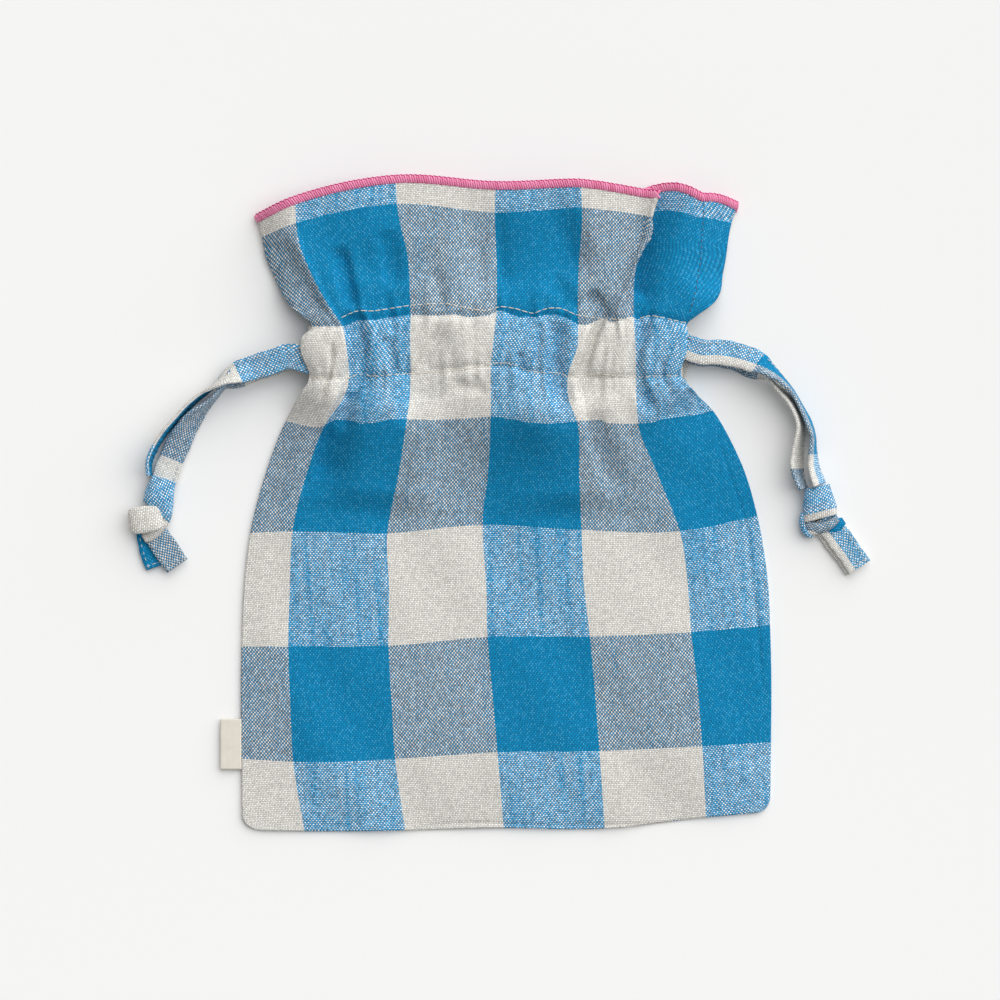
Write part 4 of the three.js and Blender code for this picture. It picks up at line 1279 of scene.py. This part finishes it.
def cloth_sheet(name, points, places, thickness, finish):
    """A sheet of cloth, its thickness under it. Its yarns keep their pitch where the cloth is gathered."""
    beside = np.linalg.norm(np.diff(points[..., :2], axis=1), axis=-1) / MM
    upward = np.linalg.norm(np.diff(points[..., :2], axis=0), axis=-1) / MM
    yarns = np.zeros((*points.shape[:2], 2))
    yarns[:, 1:, 0] = np.cumsum(beside, axis=1)
    yarns[1:, :, 1] = np.cumsum(upward, axis=0)
    yarns[..., 0] -= yarns[:, points.shape[1] // 2, 0][:, None]
    yarns[..., 1] -= yarns[points.shape[0] // 2, :, 1][None, :]
    made = piece(name, [loft(points, places, yarns=yarns)], [finish], outward=False)
    layer = made.modifiers.new("cloth thickness", "SOLIDIFY")
    layer.thickness = thickness * MM
    layer.offset = -1.0
    layer.use_even_offset = False
    return made


front_places = np.dstack([cloth_across, cloth_along])
front = cloth_sheet("front_linen", front_points, front_places, CLOTH_THICKNESS, linen_finish)
dress(front, "pouch", "front_panel")
print("front panel vertices:", len(front.data.vertices))

# %% [markdown]
# ## The back panel
# The back is the same cut, lying on the table, so it stays nearly flat and only puckers a little under the
# casing. It uses every second line of the same grid. Its checks don't line up with the front's, as on most
# sewn pouches.

# %% Back panel
BACK_HEIGHT = 0.55
NECK_LIFT = 0.9
BACK_SHIFT = (13.0, 9.0)
BACK_PUCKERS = 0.45
BACK_RIM_DROP = 0.8
PEEK = 3.0
PEEK_ALONG = 154.0
PEEK_REACH = 9.0
PEEK_FADE = 25.0

back_height = BACK_HEIGHT + NECK_LIFT * smooth_step((cloth_along - CASING_LOW + NECK_RAMP) / NECK_RAMP)
back_height += BACK_PUCKERS * puckers()
back_plan = open_plan.copy()
near_right = smooth_step(1 - (RIGHT_EDGE - cloth_across) / PEEK_FADE)
back_plan[..., 0] += PEEK * MM * hump(cloth_along, PEEK_ALONG, PEEK_REACH) * near_right
back_plan[..., 1] -= BACK_RIM_DROP * MM * over_casing
back_points = np.dstack([back_plan, back_height * MM])
back_places = front_places + np.array(BACK_SHIFT)
thin = (slice(None, None, 2), slice(None, None, 2))
back = cloth_sheet("back_linen", back_points[thin], back_places[thin], CLOTH_THICKNESS, linen_finish)
dress(back, "pouch", "back_panel")
print("back panel vertices:", len(back.data.vertices))

# %% [markdown]
# ## Seams
# Down the sides and along the bottom the two panels are sewn together and turned, which leaves a soft rounded
# edge. Each seam here is a strip of the same cloth that bows outward from the front panel's edge to the back
# panel's, so the pouch closes all round, and stops at the casing to leave the slit for the tape.

# %% Seam strips
SEAM_BOW = 0.15
SEAM_STEPS = 9
SLIT_EASE = 1.8


def seam(name, upper, lower, outward, places, finish):
    """A strip of cloth from an upper edge to a lower one, bowed outward, with its own thickness."""
    share = np.linspace(0.0, 1.0, SEAM_STEPS)
    bow = np.sin(math.pi * share)
    layers = []
    for depth in (0.0, CLOTH_THICKNESS):
        reach = (SEAM_BOW * bow - depth) * MM
        layers.append(upper[:, None] * (1 - share)[None, :, None] + lower[:, None] * share[None, :, None]
                      + outward[:, None] * reach[None, :, None])
    outer, inner = layers
    ring = np.concatenate([outer, inner[:, ::-1]], axis=1)
    drop = np.linalg.norm(upper - lower, axis=1)[:, None] / MM
    turned = np.concatenate([share, share[::-1], share[:1]])
    cloth = places[:, None] + np.stack([np.zeros_like(drop * turned), drop * turned], axis=-1)
    return piece(name, [loft(ring, cloth, rolled=True, capped=True)], [finish])


def edge_outward(line, side):
    """The level direction out of a panel, square to its edge."""
    heads = unit(np.gradient(line, axis=0) * (1, 1, 0))
    return np.cross(heads, UP) * side


below = grid_along <= CASING_LOW - SLIT_EASE
above = grid_along >= CASING_HIGH + SLIT_EASE
half_cloth = np.array([0.0, 0.0, CLOTH_THICKNESS / 2 * MM])
everywhere = slice(None)
seam_edges = {
    "left_side_seam": (below, 0, -1), "left_header_seam": (above, 0, -1),
    "right_side_seam": (below, -1, 1), "right_header_seam": (above, -1, 1),
    "bottom_seam": (0, everywhere, 1),
}
for node, (rows, columns, side) in seam_edges.items():
    upper = front_points[rows, columns] - half_cloth
    lower = back_points[rows, columns] - half_cloth
    places = front_places[rows, columns]
    strip = seam(f"{node}_linen", upper, lower, edge_outward(upper, side), places, linen_finish)
    dress(strip, "pouch", node)
print("seams:", len(seam_edges))

# %% [markdown]
# ## Facings
# Inside the casing a strip of plain cloth is sewn behind each panel, which makes the channel for the tape. It
# only shows through the mouth of the pouch, so a sheet with small even waves is enough.

# %% Facing strips
FACING_THICKNESS = 0.4
FACING_ROWS = 30
FACING_COLUMNS = 150
FACING_WAVE = 0.06
FACING_PROFILE = np.array([
    (0.0, 1.0), (0.09, 1.0), (0.16, 0.1), (0.3, 0.0), (0.7, 0.0), (0.84, 0.1), (0.91, 1.0), (1.0, 1.0)])

for layer, sewn_high in (("front", True), ("back", False)):
    low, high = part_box(f"{layer}_casing_facing")
    across = np.linspace(low.x, high.x, FACING_COLUMNS)
    share = np.linspace(0.0, 1.0, FACING_ROWS)
    lift = np.interp(share, *FACING_PROFILE.T)
    lift = lift if sewn_high else 1 - lift
    level = low.z + FACING_THICKNESS * MM + lift * (high.z - low.z - FACING_THICKNESS * MM)
    waves = FACING_WAVE * MM * np.sin(across / MM * 0.9)[None, :]
    points = np.zeros((FACING_ROWS, FACING_COLUMNS, 3))
    points[..., 0] = across[None, :]
    points[..., 1] = (low.y + share * (high.y - low.y))[:, None]
    points[..., 2] = level[:, None] + waves
    places = points[..., :2] / MM
    strip = cloth_sheet(f"{layer}_facing_cloth", points, places, FACING_THICKNESS, facing_finish)
    dress(strip, "pouch", f"{layer}_casing_facing")
print("facings made")

# %% [markdown]
# ## Casing stitches
# Two rows of straight stitches in natural thread hold each facing. Stitches are small, but they are what
# makes a sewn line look sewn, so each one is a real thread that dips into the cloth at both ends. Their
# places come from the photograph, and a ray from above finds the cloth under each.

# %% Stitch rows
STITCH_PITCH = 2.7
STITCH_LENGTH = 2.55
STITCH_RADIUS = 0.18
UPPER_ROW = [
    (341, 318.5), (357, 311), (372, 312), (411, 306), (445, 304), (459, 307), (485, 312), (500, 307),
    (515, 309), (533, 314.7), (545, 309), (560, 308.4), (574, 315), (590, 318), (618, 320), (636, 320),
    (649, 315.5), (666, 319), (686, 323.5)]
LOWER_ROW = [
    (310, 377), (325, 378), (346, 379.7), (359, 374), (373, 376.4), (386, 375.6), (409, 374),
    (427, 373), (460, 371), (490, 364), (503, 363), (520, 366.5), (526, 371.4), (540, 373),
    (556, 372.8), (568, 376.4), (580, 378), (593, 373.6), (613, 376), (636, 377), (642, 379),
    (649, 376.4), (679, 376)]
BACKSTITCH = [(310, 379.5), (326, 380.5)]
HEADER_SEAM = [(704, 203), (702, 231), (700.6, 258), (695.6, 289), (689, 314)]
HEADER_PITCH = 2.2
RAY_HEIGHT = 0.1


def ray_tree(points):
    part = loft(points, points[..., :2])
    return BVHTree.FromPolygons(part["points"].tolist(), part["faces"])


def sewn_row(plan_line, tree, from_above=True, pitch=STITCH_PITCH):
    """Centres, directions and surface normals of stitches along a line, dropped onto the cloth."""
    line = even_line(plan_line, pitch * MM)
    middles = (line[1:] + line[:-1]) / 2
    sign = 1 if from_above else -1
    centres, heads, ups = [], [], []
    for spot, head in zip(middles, np.diff(line, axis=0)):
        hit, normal, _, _ = tree.ray_cast(Vector((*spot, sign * RAY_HEIGHT)), Vector((0, 0, -sign)))
        if hit is None:
            continue
        up = np.array(normal) * (1 if normal.z * sign > 0 else -1)
        direction = np.array([*head, 0.0])
        direction -= up * (direction @ up)
        centres.append(np.array(hit))
        heads.append(direction)
        ups.append(up)
    return np.array(centres), unit(np.array(heads)), np.array(ups)


def row_piece(name, rows, node, finish, radius=STITCH_RADIUS, length=STITCH_LENGTH):
    parts = [stitches(*row, length * MM, radius * MM) for row in rows]
    made = piece(name, parts, [finish])
    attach(made, "pouch")
    if node:
        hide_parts(node)
    print(name, "stitches:", sum(len(row[0]) for row in rows))


front_tree = ray_tree(front_points)
front_upper = [sewn_row(spots(UPPER_ROW), front_tree)]
front_lower = [sewn_row(spots(LOWER_ROW), front_tree), sewn_row(spots(BACKSTITCH), front_tree)]
row_piece("front_upper_stitches", front_upper, "front_upper_casing_stitches", stitch_finish)
row_piece("front_lower_stitches", front_lower, "front_lower_casing_stitches", stitch_finish)
header_row = [sewn_row(spots(HEADER_SEAM), front_tree, pitch=HEADER_PITCH)]
row_piece("right_ruffle_seam_stitches", header_row, None, seam_finish, radius=0.2, length=1.4)

# %% Stitch rows on the back
under_points = back_points - 2 * half_cloth
back_tree = ray_tree(under_points)
for part, along in (("upper", CASING_HIGH), ("lower", CASING_LOW)):
    line = under_points[row_at(along), 3:-3, :2]
    row = [sewn_row(line, back_tree, from_above=False)]
    row_piece(f"back_{part}_stitches", row, f"back_{part}_casing_stitches", stitch_finish)

# %% [markdown]
# ## Overlocked rims
# The raw rim is bound by an overlock stitch in pink: thread after thread goes round the edge, leaning a
# little, with a chain along each side. A bump pattern would look right only from above, so the loops are real
# threads round a thin core, about one to a millimetre.

# %% Overlock finish
PINK_LIGHT = colour(254, 168, 206)
PINK_DARK = colour(206, 24, 100)
PLIES_TO_MM = 40.0
DARK_SHARE = 0.32
DARK_PLY = 0.2
DARK_LOOP = 0.34


def overlock_thread(name):
    material, shader, cloth = new_finish(name, 0.6, 0.25)
    ply = (cloth.axis("Y") * PLIES_TO_MM + cloth.axis("X") * (4 * math.pi)).wave()
    # The ply term is painted shade in the grooves between plies; the loop term is a random tone for each
    # loop.
    dark = DARK_SHARE + DARK_PLY * ply + DARK_LOOP * (cloth.chance(cloth.axis("Z")) - 0.5)
    feed(shader, dark.choose(PINK_LIGHT, PINK_DARK), "Base Color")
    bump(shader, ply, strength=0.4, depth=0.05)
    return material


overlock_finish = overlock_thread("pink_overlock_thread")
chain_finish = thread("dark_pink_chain_thread", colour(214, 56, 132), colour(168, 14, 90))
core_finish = thread("pink_overlock_core", colour(224, 92, 158), colour(196, 60, 126))
print("overlock finishes made")

# %% Overlock loops
LOOP_PITCH = 0.88
LOOP_REACH = 1.3
LOOP_THICKNESS = 0.62
LOOP_RADIUS = 0.4
LOOP_LEAN = 0.85
LOOP_TOOTH = 0.14
LOOP_POINTS = 17
RIM_OFFSET = 1.05
CORE_POINTS = 12
CORE_SIZE = (1.1, 0.5)
CHAINS = ((LOOP_REACH + 0.2, 0.25, 0.27), (-LOOP_REACH + 0.1, 0.4, 0.16))
CHAIN_SWING = 0.16
CHAIN_STEP = 0.4


def overlock(name, rim, node):
    """A bound rim: a core, leaning loops round it, and a chain along each side."""
    line = even_line(rim, LOOP_PITCH * MM)
    heads = unit(np.gradient(line, axis=0))
    outward = unit(np.cross(UP, heads))
    outward *= np.where(outward[:, 1:2] < 0, -1.0, 1.0)
    normal = np.cross(heads, outward)
    normal *= np.where(normal[:, 2:3] < 0, -1.0, 1.0)
    centre = line + outward * RIM_OFFSET * MM
    in_turn = np.where(np.arange(len(line)) % 2, 1.0, -1.0)
    angles = np.linspace(-0.95 * math.pi, 0.95 * math.pi, LOOP_POINTS)
    side = np.cos(angles)
    out = np.sin(angles)
    stretch = np.where(out[None, :] < 0, 1 + LOOP_TOOTH * in_turn[:, None], 1.0)
    loops = (centre[:, None]
             - outward[:, None] * (out[None, :] * stretch * LOOP_REACH * MM)[:, :, None]
             + normal[:, None] * (side * LOOP_THICKNESS * MM)[None, :, None]
             + heads[:, None] * (out * LOOP_LEAN / 2 * MM)[None, :, None])
    parts = [threads(loops, heads, LOOP_RADIUS * MM)]
    ring = np.linspace(0, 2 * math.pi, CORE_POINTS, endpoint=False)
    core = (centre[:, None] + outward[:, None] * (np.cos(ring) * CORE_SIZE[0] * MM)[None, :, None]
            + normal[:, None] * (np.sin(ring) * CORE_SIZE[1] * MM)[None, :, None])
    core_cloth = np.zeros((len(line), CORE_POINTS + 1, CLOTH_AXES))
    core_cloth[..., 0] = np.linspace(0, 1, CORE_POINTS + 1)
    core_cloth[..., 1] = (lengths_along(line) / MM)[:, None]
    parts.append(loft(core, core_cloth, rolled=True, capped=True, finish=1))
    for shift, lift, size in CHAINS:
        swing = shift + CHAIN_SWING * in_turn
        chain = centre + outward * (swing * MM)[:, None] + normal * (lift * MM)
        parts.append(threads(even_line(chain, CHAIN_STEP * MM)[None], UP[None], size * MM, finish=2))
    made = piece(name, parts, [overlock_finish, core_finish, chain_finish])
    dress(made, "pouch", node)
    print(name, "loops:", len(line))


overlock("front_rim_threads", front_points[-1] - half_cloth, "front_rim_overlock")
overlock("back_rim_threads", back_points[-1] - half_cloth, "back_rim_overlock")

# %% [markdown]
# ## The side label
# A small folded ribbon is caught in the left seam. Its face is bare. It is a hairpin of ribbon, so it is
# lofted as one: a top layer, a round fold at the outer end and a layer underneath, with fine ribs across it.

# %% Label finish
RIB_PITCH = 0.45
RIBBON_WARP_PITCH = 0.32
MOTTLE_STEP = 0.35
RIBBON_DARK = colour(206, 198, 184)
RIBBON_LIGHT = colour(238, 232, 221)


def ribbon(name):
    material, shader, cloth = new_finish(name, 0.55, 0.15)
    rib = (cloth.axis("Y") * (2 * math.pi / RIB_PITCH)).wave()
    warp = (cloth.axis("X") * (2 * math.pi / RIBBON_WARP_PITCH)).wave()
    # Painted shade: the ribbon is darker in the grooves between its ribs and warp threads; the mottle is its
    # own uneven tone.
    weave = 0.5 + 0.26 * rib + 0.16 * rib * warp
    mottle = cloth.noise(cloth.vector(cloth.axis("X") * MOTTLE_STEP, cloth.axis("Y") * MOTTLE_STEP), 3.0)
    shade = 0.7 * weave + 0.5 * (mottle - 0.5) + 0.15
    feed(shader, shade.choose(RIBBON_DARK, RIBBON_LIGHT), "Base Color")
    bump(shader, weave, strength=0.5, depth=0.08)
    return material


label_finish = ribbon("cream_label_ribbon")
print("ribbon nodes:", len(label_finish.node_tree.nodes))

# %% Label
RIBBON_THICKNESS = 0.32
LABEL_ROWS = 40
LAYER_POINTS = 14
FOLD_POINTS = 13
PINCH = 0.55
WOBBLE = 0.06

label_low, label_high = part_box("side_label")
label_size = (label_high - label_low) / MM
fold_radius = label_size.z / 2 - RIBBON_THICKNESS / 2
flat_length = label_size.x - fold_radius - RIBBON_THICKNESS / 2
fold_start = label_size.x - flat_length
turns = np.linspace(math.pi / 2, 1.5 * math.pi, FOLD_POINTS)
top_layer = np.linspace((label_size.x, fold_radius), (fold_start, fold_radius), LAYER_POINTS)
fold_layer = np.column_stack([fold_start + fold_radius * np.cos(turns), fold_radius * np.sin(turns)])
hairpin = np.vstack([top_layer, fold_layer[1:-1], top_layer[::-1] * (1, -1)])
hairpin[:, 1] *= 1 - PINCH * np.clip(hairpin[:, 0] / label_size.x, 0, 1) ** 2
leaf = unit(np.gradient(hairpin, axis=0))[:, ::-1] * (-1, 1)
outline = np.vstack([hairpin + leaf * RIBBON_THICKNESS / 2, (hairpin - leaf * RIBBON_THICKNESS / 2)[::-1]])
rows = np.linspace(0.0, label_size.y, LABEL_ROWS)
wobble = WOBBLE * np.sin(rows * 0.7)[:, None] * (label_size.x - outline[None, :, 0]) / label_size.x
points = np.zeros((len(rows), len(outline), 3))
points[..., 0] = label_low.x + outline[None, :, 0] * MM
points[..., 1] = label_low.y + rows[:, None] * MM
points[..., 2] = (label_low.z + label_high.z) / 2 + (outline[None, :, 1] + wobble) * MM
turn_length = lengths_along(hairpin)
around = np.concatenate([turn_length, turn_length[::-1], turn_length[:1]])
places = np.stack(np.broadcast_arrays(rows[:, None], around[None, :]), axis=-1)
label = piece("side_label_ribbon", [loft(points, places, rolled=True, capped=True)], [label_finish])
dress(label, "label", "side_label")
print(f"label {label_size.x:.1f} x {label_size.y:.1f} mm, folded")

# %% [markdown]
# ## The cloth panels
# The two panels are sheets, cut flat and gathered by the tapes.

print("the two panels are gathered sheets")

# %% [markdown]
# ## Table and light
# The pouch was photographed on a white table under one large soft light from the upper right, with light from
# all round to fill the shadows. A sun lamp as wide as a big window lights the whole table evenly, and a pale
# world fills in. They add up to about one on a level surface, so a colour shows as it is written.

# %% Table
def pale_table():
    material = bpy.data.materials.new("pale_table")
    material.use_nodes = True
    shader = material.node_tree.nodes["Principled BSDF"]
    shader.inputs["Roughness"].default_value = 0.85
    shader.inputs["Specular IOR Level"].default_value = 0.1
    start = Yarn(material.node_tree)
    place = start.node("ShaderNodeTexCoord", output="Object")
    mottle = start.noise(place)
    feed(shader, mottle.choose(colour(243, 243, 242), colour(247, 247, 246)), "Base Color")
    return material


TABLE_HALF = 4.0
table_mesh = bpy.data.meshes.new("table")
corners = [(x * TABLE_HALF, y * TABLE_HALF, 0) for x, y in ((-1, -1), (1, -1), (1, 1), (-1, 1))]
table_mesh.from_pydata(corners, [], [(0, 1, 2, 3)])
table_mesh.materials.append(pale_table())
table = bpy.data.objects.new("table", table_mesh)
table.location.z = -TABLE_GAP * MM
bpy.context.collection.objects.link(table)
print("table below the pouch at", f"{table.location.z / MM:.1f} mm")

# %% Light
KEY_WAY = Vector((0.5, 0.58, 0.68))
KEY_SOFTNESS = 88.0
KEY_SHARE = 0.7
WORLD_SHARE = 0.3
SHOWN_BACKGROUND = 0.93

key_data = bpy.data.lights.new("window_light", "SUN")
key_data.angle = math.radians(KEY_SOFTNESS)
key_data.energy = KEY_SHARE * math.pi * KEY_WAY.length / KEY_WAY.z
key = bpy.data.objects.new("window_light", key_data)
key.location = KEY_WAY
key.rotation_mode = "QUATERNION"
key.rotation_quaternion = (-KEY_WAY).to_track_quat("-Z", "Y")
bpy.context.collection.objects.link(key)

world = bpy.data.worlds.new("pale_room")
world.use_nodes = True
bpy.context.scene.world = world
sky = Yarn(world.node_tree)
seen = sky.node("ShaderNodeLightPath", output="Is Camera Ray")
fill = sky.node("ShaderNodeBackground", inputs={"Color": (1, 1, 1, 1), "Strength": WORLD_SHARE})
shown = sky.node("ShaderNodeBackground", inputs={"Color": (1, 1, 1, 1), "Strength": SHOWN_BACKGROUND})
room = sky.node("ShaderNodeMixShader", inputs={0: seen, 1: fill, 2: shown})
world.node_tree.links.new(room.socket, world.node_tree.nodes["World Output"].inputs["Surface"])
print(f"key light {key_data.energy:.2f}, world {WORLD_SHARE}")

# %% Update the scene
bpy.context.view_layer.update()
